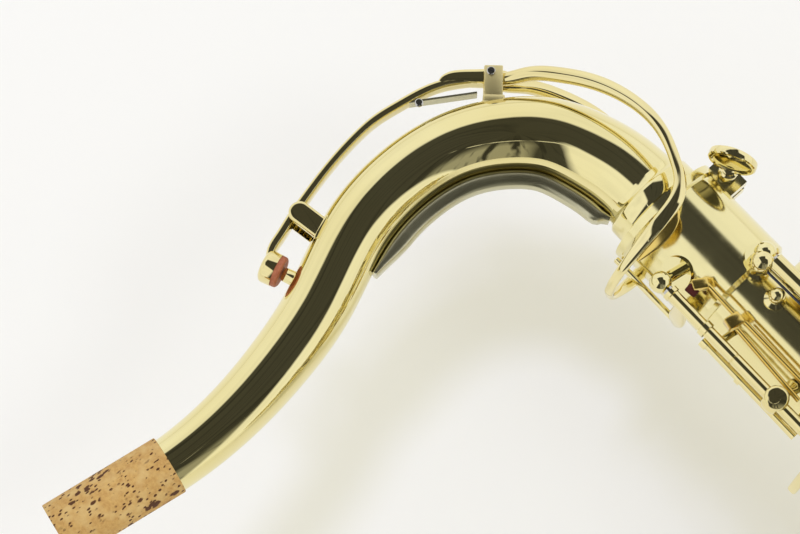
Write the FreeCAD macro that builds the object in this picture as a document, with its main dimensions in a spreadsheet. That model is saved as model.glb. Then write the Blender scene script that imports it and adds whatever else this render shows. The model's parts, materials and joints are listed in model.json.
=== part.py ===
import FreeCAD, Part
import math
import os
import Sketcher

# Tenor saxophone. The body tube stands along Z with the neck on top, the bell is towards +X
# and the player's left is +Y. The origin is the eye of the strap ring. Sizes are millimetres.

Vector = FreeCAD.Vector
os.makedirs("parts", exist_ok=True)
doc = FreeCAD.newDocument("tenor_saxophone")

# Driving sizes
SIZES = {
    "wall": 0.9,
    "fit_clearance": 0.05,
    "running_gap": 0.4,
    "overrun": 6.0,
    "body_length": 680.0,
    "body_top_radius": 13.6,
    "body_bottom_radius": 31.0,
    "receiver_radius": 16.5,
    "receiver_length": 32.0,
    "receiver_lip": 1.2,
    "tenon_radius": 13.75,
    "tenon_length": 22.0,
    "strap_depth": 270.0,
    "strap_eye_radius": 7.5,
    "strap_wire": 3.0,
    "strap_standoff": 5.0,
    "strap_plate_width": 16.0,
    "bow_radius": 60.0,
    "bow_end_radius": 40.0,
    "band_width": 14.0,
    "band_thickness": 1.6,
    "bell_length": 306.0,
    "bell_rim_radius": 77.0,
    "rim_roll": 2.2,
    "neck_reach": 184.0,
    "neck_rise": 55.4,
    "neck_big_radius": 12.2,
    "neck_small_radius": 7.3,
    "collar_radius": 14.9,
    "collar_height": 8.0,
    "cork_radius": 8.5,
    "cork_length": 35.0,
    "brace_depth": 4.7,
    "brace_width": 6.0,
    "pip_radius": 2.3,
    "pip_height": 4.5,
    "vent_bore": 1.5,
    "pivot_radius": 1.6,
    "pivot_height": 19.5,
    "octave_strip_width": 6.5,
    "octave_strip": 2.2,
    "octave_arm_radius": 1.9,
    "octave_ring_radius": 21.2,
    "octave_ring_wall": 1.6,
    "octave_ring_height": 6.0,
    "octave_pad_radius": 4.8,
    "octave_lift": 3.0,
    "guide_radius": 5.6,
    "guide_wall": 1.5,
    "spring_width": 4.0,
    "spring_thickness": 0.6,
    "lug_width": 10.0,
    "lug_thickness": 3.6,
    "lug_reach": 5.6,
    "clamp_slot": 2.0,
    "clamp_thread_radius": 1.6,
    "clamp_head_radius": 7.0,
    "clamp_head_thickness": 3.0,
    "rod_radius": 1.5,
    "sleeve_radius": 2.75,
    "post_foot_radius": 4.6,
    "post_foot_thickness": 1.2,
    "post_stem_radius": 1.7,
    "post_ball_radius": 3.1,
    "chimney_height": 4.0,
    "chimney_wall": 1.3,
    "pad_gap": 0.4,
    "pad_proud": 1.0,
    "cup_depth": 3.4,
    "cup_wall": 0.7,
    "arm_thickness": 2.6,
    "arm_width": 5.0,
    "pearl_radius": 7.0,
    "small_pearl_radius": 4.5,
    "pearl_height": 1.6,
    "pearl_lift": 2.6,
    "touch_thickness": 2.2,
    "upper_reach": 20.0,
    "lower_reach": 27.0,
    "palm_reach": 13.5,
    "side_reach": 17.0,
    "front_reach": 6.6,
    "gs_reach": 19.0,
    "eb_reach": 28.0,
    "low_hinge_offset": 36.0,
    "low_hinge_pitch": 11.1,
    "low_c_reach": 36.0,
    "octave_line_radius": 26.6,
    "c_cup": 19.0,
    "b_cup": 24.0,
    "bis_cup": 18.0,
    "a_cup": 27.0,
    "g_cup": 31.0,
    "gs_cup": 28.0,
    "fs_cup": 36.0,
    "f_cup": 38.0,
    "e_cup": 41.0,
    "d_cup": 44.0,
    "low_eb_cup": 44.0,
    "low_c_cup": 50.0,
    "low_cs_cup": 50.0,
    "low_b_cup": 54.0,
    "low_bb_cup": 56.0,
    "palm_d_cup": 20.0,
    "palm_eb_cup": 20.0,
    "palm_f_cup": 18.0,
    "side_c_cup": 20.0,
    "side_bb_cup": 24.0,
    "high_e_cup": 19.0,
    "front_f_cup": 19.0,
    "body_vent_cup": 10.0,
    "guard_width": 8.0,
    "guard_thickness": 2.4,
    "guard_rise": 20.0,
    "felt_radius": 4.5,
    "felt_thickness": 2.5,
    "thumb_rest_radius": 11.0,
    "thumb_rest_height": 7.0,
    "hook_width": 16.0,
    "hook_thickness": 3.0,
    "hook_reach": 24.0,
    "hook_plate_length": 40.0,
    "bell_brace_radius": 13.0,
    "brace_wire": 2.6,
    "needle_radius": 0.4,
    "needle_length": 22.0,
}

sheet = doc.addObject("Spreadsheet::Sheet", "sizes")
for row, (alias, number) in enumerate(SIZES.items(), start=1):
    sheet.set(f"A{row}", alias)
    sheet.set(f"B{row}", str(number))
    sheet.setAlias(f"B{row}", alias)
doc.recompute()


class Measure:
    """A length that knows its value and how the sheet's cells give it."""

    def __init__(self, number, text):
        self.number = float(number)
        self.text = text

    def __float__(self):
        return self.number

    def _joined(self, other, sign, number):
        text = other.text if isinstance(other, Measure) else repr(float(other))
        return Measure(number, f"({self.text} {sign} {text})")

    def __add__(self, other):
        return self._joined(other, "+", self.number + float(other))

    def __sub__(self, other):
        return self._joined(other, "-", self.number - float(other))

    def __mul__(self, other):
        return self._joined(other, "*", self.number * float(other))

    def __truediv__(self, other):
        return self._joined(other, "/", self.number / float(other))

    def __neg__(self):
        return Measure(-self.number, f"(0 - {self.text})")

    def __rmul__(self, other):
        return self * other


class Sizes:
    """Every cell of the sheet as a Measure, by its alias."""

    def __getattr__(self, alias):
        return Measure(sheet.get(alias), f"sizes.{alias}")


S = Sizes()
ZERO = Measure(0, "0")


def num(alias):
    return float(sheet.get(alias))


# Places that follow from the sizes
slope = (num("body_bottom_radius") - num("body_top_radius")) / num("body_length")
lean = math.degrees(math.atan(slope))


def body_radius(depth):
    return num("body_top_radius") + slope * depth


tube_x = body_radius(num("strap_depth")) + num("strap_standoff") + num("strap_eye_radius") + num("strap_wire")
top_z = num("strap_depth")
bow_z = top_z - num("body_length")
bell_x = tube_x + 2 * num("bow_radius")
bell_flare = num("bell_rim_radius") - num("bow_end_radius")

# The bell's outline as shares: height above the bow joint, and how far the flare has opened
BELL_SHARES = (
    (0.0, 0.0), (0.2, 0.10), (0.4, 0.20), (0.55, 0.29), (0.7, 0.41), (0.82, 0.56), (0.92, 0.77), (1.0, 1.0),
)


def bell_radius(depth):
    share = (num("body_length") - depth) / num("bell_length")
    for (low, low_open), (high, high_open) in zip(BELL_SHARES, BELL_SHARES[1:]):
        if share <= high:
            part_way = (share - low) / (high - low)
            return num("bow_end_radius") + bell_flare * (low_open + (high_open - low_open) * part_way)
    return num("bell_rim_radius")


nodes = []


def finish(thing, label):
    thing.Label = label
    nodes.append(thing)
    return thing


def bind(thing, prop, measure):
    setattr(thing, prop, float(measure))
    thing.setExpression(prop, measure.text)


def facing(origin, direction):
    return FreeCAD.Placement(Vector(*origin), FreeCAD.Rotation(Vector(0, 0, 1), Vector(*direction)))


def cylinder(radius, height, origin, direction=(0, 0, 1)):
    thing = doc.addObject("Part::Cylinder", "round")
    bind(thing, "Radius", radius)
    bind(thing, "Height", height)
    thing.Placement = facing(origin, direction)
    return thing


def cone(radius_low, radius_high, height, origin, direction=(0, 0, 1)):
    thing = doc.addObject("Part::Cone", "cone")
    bind(thing, "Radius1", radius_low)
    bind(thing, "Radius2", radius_high)
    bind(thing, "Height", height)
    thing.Placement = facing(origin, direction)
    return thing


def sphere(radius, origin):
    thing = doc.addObject("Part::Sphere", "ball")
    bind(thing, "Radius", radius)
    thing.Placement.Base = Vector(*origin)
    return thing


def box(length, width, height, origin, turn=0.0, axis=(0, 0, 1)):
    """A block whose own X runs along its length from the middle of its end face."""
    thing = doc.addObject("Part::Box", "block")
    bind(thing, "Length", length)
    bind(thing, "Width", width)
    bind(thing, "Height", height)
    centred = FreeCAD.Placement(Vector(0, -float(width) / 2, -float(height) / 2), FreeCAD.Rotation())
    thing.Placement = FreeCAD.Placement(Vector(*origin), FreeCAD.Rotation(Vector(*axis), turn)) * centred
    return thing


def fuse(things):
    whole = things[0]
    for item in things[1:]:
        joined = doc.addObject("Part::Fuse", "joined")
        joined.Base = whole
        joined.Tool = item
        whole = joined
    return whole


def cut(base, tools):
    thing = doc.addObject("Part::Cut", "cut")
    thing.Base = base
    thing.Tool = fuse(tools)
    return thing


def group(things):
    thing = doc.addObject("Part::Compound", "group")
    thing.Links = things
    return thing


def bar(start, end, depth, width, thickness):
    """A flat arm in a key's own frame, from one (side, height) point to another."""
    run = math.hypot(end[0] - start[0], end[1] - start[1])
    turn = math.degrees(math.atan2(end[1] - start[1], end[0] - start[0]))
    thing = doc.addObject("Part::Box", "arm")
    bind(thing, "Width", thickness)
    bind(thing, "Height", width)
    thing.Length = run
    centred = FreeCAD.Placement(Vector(0, -float(thickness) / 2, -float(width) / 2), FreeCAD.Rotation())
    place = FreeCAD.Placement(Vector(start[0], start[1], depth), FreeCAD.Rotation(Vector(0, 0, 1), turn))
    thing.Placement = place * centred
    return thing


def origin_plane(body, role):
    return [item for item in body.Origin.OriginFeatures if item.Role == role][0]


def turned(points, placement=None):
    """A body turned about its own Z axis from an outline of (radius, height) measures."""
    body = doc.addObject("PartDesign::Body", "turned")
    sketch = body.newObject("Sketcher::SketchObject", "outline")
    sketch.AttachmentSupport = [(origin_plane(body, "XZ_Plane"), "")]
    sketch.MapMode = "FlatFace"
    corners = [Vector(float(radius), float(height), 0) for radius, height in points]
    for index, corner in enumerate(corners):
        sketch.addGeometry(Part.LineSegment(corner, corners[(index + 1) % len(corners)]), False)
    for index in range(len(corners)):
        sketch.addConstraint(Sketcher.Constraint("Coincident", index, 2, (index + 1) % len(corners), 1))
    for index, (radius, height) in enumerate(points):
        across = sketch.addConstraint(Sketcher.Constraint("DistanceX", -1, 1, index, 1, float(radius)))
        sketch.setExpression(f"Constraints[{across}]", radius.text)
        along = sketch.addConstraint(Sketcher.Constraint("DistanceY", -1, 1, index, 1, float(height)))
        sketch.setExpression(f"Constraints[{along}]", height.text)
    revolution = body.newObject("PartDesign::Revolution", "turning")
    revolution.Profile = sketch
    revolution.ReferenceAxis = (sketch, ["V_Axis"])
    revolution.Angle = 360
    body.Tip = revolution
    if placement is not None:
        body.Placement = placement
    return body


def washer(outer, inner, low, high, placement=None):
    return turned(((inner, low), (outer, low), (outer, high), (inner, high)), placement)


def shaped(shape):
    thing = doc.addObject("Part::Feature", "shape")
    thing.Shape = shape
    return thing


# Frames: X runs round the tube, Y stands off its surface and Z runs down along it
def cone_frame(azimuth):
    out = Vector(math.cos(math.radians(azimuth)), math.sin(math.radians(azimuth)), 0)
    side = Vector(-out.y, out.x, 0)
    down = Vector(0, 0, -math.cos(math.radians(lean))) + out * math.sin(math.radians(lean))
    normal = down.cross(side)
    base = Vector(tube_x, 0, top_z) + out * num("body_top_radius")
    return FreeCAD.Placement(base, FreeCAD.Rotation(side, normal, down, "ZXY"))


def flat_frame(x, outward):
    """A frame on the plane Y = 0, that looks to +Y or -Y and runs straight down."""
    side = Vector(0, outward, 0).cross(Vector(0, 0, -1))
    turn = FreeCAD.Rotation(side, Vector(0, outward, 0), Vector(0, 0, -1), "ZXY")
    return FreeCAD.Placement(Vector(x, 0, top_z), turn)


chimneys = []
posts = []
rods = []
closed_top = S.chimney_height + S.pad_gap + S.pad_proud + S.cup_depth


def hinge_report(label, frame, spot, sign, travel, low, high):
    centre = frame.multVec(Vector(spot[0], spot[1], (low + high) / 2))
    axis = frame.Rotation.multVec(Vector(0, 0, sign))
    place = " ".join(f"{number:.4f}" for number in (*centre, *axis))
    print(f"HINGE {label} {place} {travel:.3f}")


def sleeve(spot, low, high):
    """The tube that turns on the rod."""
    thing = doc.addObject("Part::Cylinder", "sleeve")
    bind(thing, "Radius", S.sleeve_radius)
    thing.Height = high - low
    thing.Placement.Base = Vector(spot[0], spot[1], low)
    return thing


def sleeve_bore(spot, low, high):
    thing = doc.addObject("Part::Cylinder", "bore")
    bind(thing, "Radius", S.rod_radius + S.fit_clearance)
    thing.Height = high - low + 2 * num("overrun")
    thing.Placement.Base = Vector(spot[0], spot[1], low - num("overrun"))
    return thing


def cup_and_pad(diameter, depth, top):
    """The cup hangs under the height `top`, its hollow holds the pad."""
    outer = diameter / 2
    low = top - float(S.cup_depth)
    shell = cylinder(outer, S.cup_depth * 0.75, (0, low, depth), (0, 1, 0))
    dome_base = low + float(S.cup_depth) * 0.75
    dome = cone(outer, outer * 0.62, S.cup_depth * 0.25, (0, dome_base, depth), (0, 1, 0))
    hollow = cylinder(outer - S.cup_wall, S.cup_depth * 0.6, (0, low, depth), (0, 1, 0))
    cup = cut(fuse([shell, dome]), [hollow])
    pad_height = S.cup_depth * 0.6 + S.pad_proud
    pad_low = low - num("pad_proud")
    pad = cylinder(outer - S.cup_wall - S.fit_clearance, pad_height, (0, pad_low, depth), (0, 1, 0))
    return cup, pad


def stadium(centre, depth, width, length, thickness):
    """A touch plate with round ends, that lies along the tube."""
    thing = [box(width, thickness, length - width, (centre[0] - float(width) / 2, centre[1], depth))]
    for sign in (-1, 1):
        end = depth + sign * float(length - width) / 2
        end_base = (centre[0], centre[1] - float(thickness) / 2, end)
        thing.append(cylinder(width / 2, thickness, end_base, (0, 1, 0)))
    return thing


def key(label, frame, diameter, depth, spot, low, high, travel, opens, top=None, touch=None, owner="body",
        rim=0.0, elbow=0.0):
    """One key: sleeve, arm, cup, pad and touch. `spot` is the hinge as (side, height)."""
    top_height = float(closed_top) if top is None else top
    arm_height = top_height + num("arm_thickness") / 2
    lift = -math.copysign(1, spot[0])
    cup, pad = cup_and_pad(diameter, depth, top_height)
    bend = (math.copysign(elbow, spot[0]), arm_height) if elbow else spot
    metal = [sleeve(spot, low, high), bar(bend, (0, arm_height), depth, S.arm_width, S.arm_thickness)]
    if elbow:
        metal.append(bar(spot, bend, depth, S.arm_width, S.arm_thickness))
        metal.append(cylinder(S.arm_thickness / 2, S.arm_width, (*bend, depth - num("arm_width") / 2)))
    metal.append(cylinder(S.arm_width / 2, S.arm_thickness, (0, top_height, depth), (0, 1, 0)))
    metal.append(cylinder(S.arm_width * 0.8, S.arm_thickness * 0.35, (0, top_height, depth), (0, 1, 0)))
    metal.append(cup)
    loose = [pad]
    if touch:
        more, pearls = touch(spot, arm_height)
        metal += more
        loose += pearls
    solid = cut(fuse(metal), [sleeve_bore(spot, low, high)])
    node = group([solid] + loose)
    hinge = Vector(spot[0], spot[1], 0)
    turn = 0.0 if opens else lift * travel
    swing = FreeCAD.Placement(Vector(), FreeCAD.Rotation(Vector(0, 0, 1), turn), hinge)
    node.Placement = frame * swing
    finish(node, label)
    hinge_report(label, frame, spot, lift if opens else -lift, travel, low, high)
    chimneys.append((frame, depth, diameter / 2 - S.cup_wall - S.pad_proud * 1.6, rim, owner))
    return node


def pearl_touch(depth, side_share, radius):
    """A pearl in a dish that stands on the key's own arm."""
    def make(spot, arm_height):
        side = spot[0] * (1 - side_share)
        foot = arm_height
        stem = cylinder(radius * 0.45, S.pearl_lift, (side, foot, depth), (0, 1, 0))
        dish_low = foot + num("pearl_lift")
        dish = cylinder(radius + S.cup_wall, S.pearl_height, (side, dish_low, depth), (0, 1, 0))
        well_low = dish_low + num("pearl_height") * 0.4
        well = cylinder(radius, S.pearl_height * 0.6, (side, well_low, depth), (0, 1, 0))
        pearl = cylinder(radius - S.fit_clearance, S.pearl_height * 0.8,
                         (side, dish_low + num("pearl_height") * 0.4, depth), (0, 1, 0))
        return [stem, cut(dish, [well])], [pearl]
    return make


def plate_touch(depth, side, height, width, length):
    """A flat touch on an arm of its own."""
    def make(spot, arm_height):
        centre = (spot[0] + side, spot[1] + height)
        return [bar(spot, centre, depth, S.arm_width, S.arm_thickness)] + stadium(
            centre, depth, width, length, S.touch_thickness), []
    return make


def line(frame, spot, low, high):
    """A rod in its frame, with a post at each end."""
    rods.append((frame, spot, low, high))
    posts.append((frame, spot, low))
    posts.append((frame, spot, high))


post_half = num("post_ball_radius")
gap = num("running_gap")
length = num("body_length")
hinge_height = float(closed_top + S.arm_thickness / 2)

# The two key stacks on the front right: depth shares, cup sizes and pearls
stack_azimuth = -54.0
stack_frame = cone_frame(stack_azimuth)
UPPER_SHARES = (
    ("c_key", 0.169, S.c_cup, None),
    ("b_key", 0.206, S.b_cup, S.pearl_radius),
    ("bis_key", 0.241, S.bis_cup, S.small_pearl_radius),
    ("a_key", 0.279, S.a_cup, S.pearl_radius),
    ("g_key", 0.328, S.g_cup, S.pearl_radius),
)
LOWER_SHARES = (
    ("fs_key", 0.442, S.fs_cup, None),
    ("f_key", 0.501, S.f_cup, S.pearl_radius),
    ("e_key", 0.565, S.e_cup, S.pearl_radius),
    ("d_key", 0.635, S.d_cup, S.pearl_radius),
)


def stack(rows, reach, travel):
    spot = (-float(reach), hinge_height)
    depths = [share * length for _, share, _, _ in rows]
    borders = [depths[0] - float(rows[0][2]) / 2]
    borders += [(one + two) / 2 for one, two in zip(depths, depths[1:])]
    borders.append(depths[-1] + float(rows[-1][2]) / 2)
    for index, (label, _, diameter, pearl) in enumerate(rows):
        touch = pearl_touch(depths[index], 0.5, pearl) if pearl else None
        key(label, stack_frame, diameter, depths[index], spot, borders[index] + gap / 2,
            borders[index + 1] - gap / 2, travel, False, touch=touch)
    line(stack_frame, spot, borders[0] - gap - post_half, borders[-1] + gap + post_half)


stack(UPPER_SHARES, S.upper_reach, 11.0)
stack(LOWER_SHARES, S.lower_reach, 10.0)


def single(label, azimuth, share, diameter, reach, low_share, high_share, travel, touch, sign=1):
    """A key that is closed at rest, on a rod of its own between two posts."""
    frame = cone_frame(azimuth)
    spot = (sign * float(reach), hinge_height)
    low, high = low_share * length, high_share * length
    key(label, frame, diameter, share * length, spot, low, high, travel, True, touch=touch)
    line(frame, spot, low - gap - post_half, high + gap + post_half)



def touch_at(share, side, height, width, run):
    """A flat touch, its place and size counted in radii of the thumb rest."""
    unit = S.thumb_rest_radius
    return plate_touch(share * length, side * float(unit), height * float(unit), unit * width, unit * run)


# Palm keys on the left side, whose touches stand off the tube below their cups
single("palm_f_key", 46.0, 0.082, S.palm_f_cup, S.palm_reach, 0.068, 0.112, 9.0,
       touch_at(0.098, 0.85, 0.20, 0.9, 2.2))
single("palm_eb_key", 76.0, 0.138, S.palm_eb_cup, S.palm_reach, 0.122, 0.196, 9.0,
       touch_at(0.182, 0.85, 0.20, 0.9, 2.4))
single("palm_d_key", 50.0, 0.196, S.palm_d_cup, S.palm_reach, 0.182, 0.268, 9.0,
       touch_at(0.252, 0.85, 0.20, 0.9, 2.4))
single("gs_key", 48.0, 0.372, S.gs_cup, S.gs_reach, 0.352, 0.392, 9.0,
       touch_at(0.372, 1.36, 0.0, 1.3, 2.0))

# Side keys at the back right, with long sleeves down to the right hand
single("high_e_key", -136.0, 0.160, S.high_e_cup, S.side_reach, 0.147, 0.440, 8.0,
       touch_at(0.400, 0.82, 0.64, 0.8, 2.8))
single("side_c_key", -150.0, 0.195, S.side_c_cup, S.side_reach, 0.180, 0.480, 8.0,
       touch_at(0.446, 0.73, 0.73, 0.8, 2.4))
single("side_bb_key", -165.0, 0.245, S.side_bb_cup, S.side_reach, 0.230, 0.520, 8.0,
       touch_at(0.494, 0.64, 0.73, 0.8, 2.4))

# The high vent on the front, opened by the left first finger
front_frame = cone_frame(2.0)
front_low, front_high = 0.050 * length, 0.137 * length
front_radius = body_radius(front_low)
front_angle = math.radians(74.0)
front_line = front_radius + num("front_reach")
front_spot = (-front_line * math.sin(front_angle), front_line * math.cos(front_angle) - front_radius)
key("front_f_key", front_frame, S.front_f_cup, 0.066 * length, front_spot, front_low, front_high, 9.0, True,
    touch=touch_at(0.126, -0.55, -0.64, 0.8, 1.4),
    elbow=num("front_f_cup") * 0.62)
line(front_frame, front_spot, front_low - gap - post_half, front_high + gap + post_half)

# Low E flat on the right side of the body
single("low_eb_key", -92.0, 0.742, S.low_eb_cup, S.eb_reach, 0.722, 0.855, 7.0,
       touch_at(0.836, -1.27, 0.09, 1.2, 2.0), sign=-1)


def low_key(label, x, outward, share, diameter, hinge_x, rim, hinge_y, low_share, high_share, travel, opens,
            touch, owner):
    """A low key on the bell or bow: its hinge runs straight down beside the body tube."""
    frame = flat_frame(x, outward)
    side = (hinge_x - x) * (-outward)
    spot = (side, hinge_y)
    top = rim + float(closed_top)
    low, high = low_share * length, high_share * length
    key(label, frame, diameter, share * length, spot, low, high, travel, opens, top=top, touch=touch,
        owner=owner, rim=rim, elbow=float(diameter) * 0.56 if owner == "bell" else 0.0)
    line(frame, spot, low - gap - post_half, high + gap + post_half)


def bell_rim(share):
    return bell_radius(share * length)


low_y = num("low_hinge_offset")
low_bb_share, low_b_share, low_cs_share = 0.772, 0.862, 0.940
low_bb_hinge, low_b_hinge, low_cs_hinge = (tube_x + num("low_hinge_pitch") * step for step in (2.8, 1.8, 0.8))
low_key("low_bb_key", bell_x, 1, low_bb_share, S.low_bb_cup, low_bb_hinge, bell_rim(low_bb_share),
        low_y, 0.455, 0.800, 5.0, False, touch_at(0.470, -1.55, 0.36, 1.3, 1.8), "bell")
low_key("low_b_key", bell_x, 1, low_b_share, S.low_b_cup, low_b_hinge, bell_rim(low_b_share),
        low_y, 0.425, 0.890, 5.0, False, touch_at(0.436, -1.55, 0.36, 1.3, 1.9), "bell")
low_key("low_cs_key", bell_x, 1, low_cs_share, S.low_cs_cup, low_cs_hinge, bell_rim(low_cs_share),
        low_y, 0.432, 0.960, 5.0, True, touch_at(0.452, 1.45, 0.18, 1.3, 2.4), "bell")

# The low C hole is on the right side of the bow, half way round its first bend
bow_turn = 48.0
low_c_x = tube_x + num("bow_radius") * (1 - math.cos(math.radians(bow_turn)))
low_c_share = (length + num("bow_radius") * math.sin(math.radians(bow_turn))) / length
bow_growth = num("bow_end_radius") - num("body_bottom_radius")
low_c_rim = num("body_bottom_radius") + bow_growth * bow_turn / 180
low_key("low_c_key", low_c_x, -1, low_c_share, S.low_c_cup, low_c_x - num("low_c_reach"), low_c_rim,
        low_c_rim + hinge_height, 0.830, low_c_share + 0.03, 6.0, False,
        touch_at(0.845, 1.27, 0.27, 1.2, 1.8), "bow")

# Shells: body tube, receiver, bow, bell and their joint bands
bow_arc = Part.Arc(
    Vector(tube_x, 0, bow_z),
    Vector(tube_x + num("bow_radius"), 0, bow_z - num("bow_radius")),
    Vector(bell_x, 0, bow_z),
)


def bow_solid(inset):
    spine = Part.Wire([bow_arc.toShape()])
    small_circle = Part.Circle(Vector(tube_x, 0, bow_z), Vector(0, 0, 1), num("body_bottom_radius") - inset)
    large_circle = Part.Circle(Vector(bell_x, 0, bow_z), Vector(0, 0, 1), num("bow_end_radius") - inset)
    small = Part.Wire([small_circle.toShape()])
    large = Part.Wire([large_circle.toShape()])
    return spine.makePipeShell([small, large], True, True)


def bell_solid(inset):
    """The bell filled in, from the bow joint to the rim."""
    outline = [Vector(bell_radius(length - share * num("bell_length")) - inset, 0, share * num("bell_length"))
               for share, _ in BELL_SHARES]
    curve = Part.BSplineCurve()
    curve.interpolate(outline)
    top = Vector(0, 0, outline[-1].z)
    edges = [curve.toShape(), Part.LineSegment(outline[-1], top).toShape(),
             Part.LineSegment(top, Vector()).toShape(), Part.LineSegment(Vector(), outline[0]).toShape()]
    face = Part.Face(Part.Wire(edges))
    solid = face.revolve(Vector(), Vector(0, 0, 1), 360)
    solid.translate(Vector(bell_x, 0, bow_z))
    return solid


body_core = cone(S.body_bottom_radius, S.body_top_radius, S.body_length, (tube_x, 0, bow_z))
core_shapes = {"body": body_core, "bow": shaped(bow_solid(0)), "bell": shaped(bell_solid(0))}
hole_tools = {"body": [], "bow": [], "bell": []}


def bore_reach(bore):
    return float(bore) + num("chimney_wall") + num("post_foot_radius")


rings = {"body": [], "bow": [], "bell": []}
towers = []
doc.recompute()
for frame, depth, bore, rim, owner in chimneys:
    base = frame.multVec(Vector(0, rim - num("overrun") * 2, depth))
    out = frame.Rotation.multVec(Vector(0, 1, 0))
    tall = S.chimney_height + S.overrun * 2
    outer = cylinder(bore + S.chimney_wall, tall, base, out)
    inner = cylinder(bore, tall + S.overrun, base - out * (num("overrun") / 2), out)
    rings[owner].append(cut(outer, [inner, core_shapes[owner]]))
    towers.append((base, float(tall) + bore_reach(bore), outer))
    hole_tools[owner].append(cylinder(bore, tall + S.overrun, base - out * (num("overrun") / 2), out))

tenon_seat = S.tenon_length + S.running_gap
tenon_room = cylinder(S.receiver_radius * 2, tenon_seat, (tube_x, 0, top_z - float(tenon_seat)))
body_outer = cut(body_core, [tenon_room])
body_bore = cone(S.body_bottom_radius - S.wall, S.body_top_radius - S.wall, S.body_length, (tube_x, 0, bow_z))
finish(cut(body_outer, [body_bore] + hole_tools["body"]), "body_tube")
finish(cut(cut(core_shapes["bow"], [shaped(bow_solid(num("wall")))]), hole_tools["bow"]), "bow")
rim_roll = doc.addObject("Part::Torus", "rim")
bind(rim_roll, "Radius1", S.bell_rim_radius)
bind(rim_roll, "Radius2", S.rim_roll)
rim_roll.Placement.Base = Vector(bell_x, 0, bow_z + num("bell_length"))
bell_shell = cut(core_shapes["bell"], [shaped(bell_solid(num("wall")))])
finish(cut(fuse([bell_shell, rim_roll]), hole_tools["bell"]), "bell")
finish(group(rings["body"] + rings["bow"]), "tone_hole_chimneys")
finish(group(rings["bell"]), "bell_chimneys")

band = S.band_width
for label, radius, x in (("body_bow_band", S.body_bottom_radius + S.running_gap, tube_x),
                         ("bow_bell_band", S.bow_end_radius + S.running_gap + S.wall, bell_x)):
    flat = radius + S.band_thickness
    bead = radius + S.band_thickness * 1.7
    ring = turned((
        (radius, ZERO), (bead, ZERO), (bead, band * 0.2), (flat, band * 0.25),
        (flat, band * 0.75), (bead, band * 0.8), (bead, band), (radius, band),
    ), FreeCAD.Placement(Vector(x, 0, bow_z), FreeCAD.Rotation()))
    finish(ring, label)

# Receiver: a sleeve with a lip, split at the front between two clamping lugs
taper = (S.body_bottom_radius - S.body_top_radius) / S.body_length
receiver_seat = S.body_top_radius + taper * S.receiver_length + S.fit_clearance * 2
receiver_turned = turned((
    (S.tenon_radius, -tenon_seat), (S.tenon_radius, ZERO), (S.receiver_radius + S.receiver_lip, ZERO),
    (S.receiver_radius + S.receiver_lip, -S.receiver_lip * 2), (S.receiver_radius, -S.receiver_lip * 2.6),
    (S.receiver_radius, -S.receiver_length + S.receiver_lip),
    (S.receiver_radius - S.receiver_lip, -S.receiver_length),
    (receiver_seat, -S.receiver_length), (receiver_seat, -tenon_seat),
), FreeCAD.Placement(Vector(tube_x, 0, top_z), FreeCAD.Rotation()))
lug_z = top_z - num("lug_width") * 0.55
lug_depth = S.lug_thickness * 2 + S.clamp_slot
lug_block = box(S.receiver_radius + S.lug_reach, lug_depth, S.lug_width, (tube_x, 0, lug_z))
lug_bore = cylinder(S.tenon_radius, S.receiver_length, (tube_x, 0, top_z - num("receiver_length")))
lug_round = cut(lug_block, [lug_bore])
slot_cut = box(S.receiver_radius + S.lug_reach + S.overrun, S.clamp_slot, S.tenon_length,
               (tube_x, 0, top_z - num("tenon_length") / 2 + num("overrun") / 4))
clamp_x = tube_x + num("receiver_radius") + num("lug_reach") * 0.5
clamp_run = S.lug_thickness * 2 + S.clamp_slot
clamp_hole = cylinder(S.clamp_thread_radius + S.fit_clearance, clamp_run + S.overrun,
                      (clamp_x, -float(clamp_run + S.overrun) / 2, lug_z), (0, 1, 0))
finish(cut(fuse([receiver_turned, lug_round]), [slot_cut, clamp_hole]), "neck_receiver")

# Neck clamp screw: a stem, a shoulder and a flat oval thumb head on the right side
paddle_long = Vector(0.44, 0, -0.90).normalize()
paddle_flat = Vector(0.90, 0, 0.44).normalize()
head_low = float(clamp_run) / 2 + num("running_gap")
shoulder = S.clamp_head_thickness * 1.7
screw_stem = cylinder(S.clamp_thread_radius, clamp_run + S.clamp_head_radius * 1.2,
                      (clamp_x, -head_low - float(S.clamp_head_radius), lug_z), (0, 1, 0))
screw_collar = cylinder(S.clamp_thread_radius * 1.7, shoulder, (clamp_x, -head_low, lug_z), (0, -1, 0))
paddle_mid = Vector(clamp_x, -head_low - float(shoulder) - num("clamp_head_radius") * 0.55, lug_z)
screw_paddle = []
for side in (-1, 1):
    round_mid = paddle_mid + paddle_long * (side * num("clamp_head_radius") * 0.42)
    disc_low = round_mid - paddle_flat * (num("clamp_head_thickness") / 2)
    screw_paddle.append(cylinder(S.clamp_head_radius * 0.62, S.clamp_head_thickness, disc_low, paddle_flat))
finish(fuse([screw_stem, screw_collar] + screw_paddle), "neck_clamp_screw")

# Neck: outline points as shares of its reach and rise, with the tube's radius as a share between its ends
neck_x, neck_z = tube_x, top_z
NECK_SHARES = (
    (0.0, 0.0, 1.02), (0.0, 0.16, 1.0), (0.0, 0.31, 0.93), (-0.0147, 0.46, 0.91),
    (-0.044, 0.653, 0.80), (-0.090, 0.810, 0.70), (-0.165, 0.949, 0.60), (-0.261, 1.0, 0.55),
    (-0.357, 0.960, 0.52), (-0.490, 0.800, 0.47), (-0.577, 0.704, 0.38), (-0.680, 0.652, 0.25),
    (-0.820, 0.660, 0.11), (-0.910, 0.713, 0.05), (-1.0, 0.766, 0.0),
)


def neck_point(reach_share, rise_share):
    return Vector(neck_x + reach_share * num("neck_reach"), 0, neck_z + rise_share * num("neck_rise"))


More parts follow.
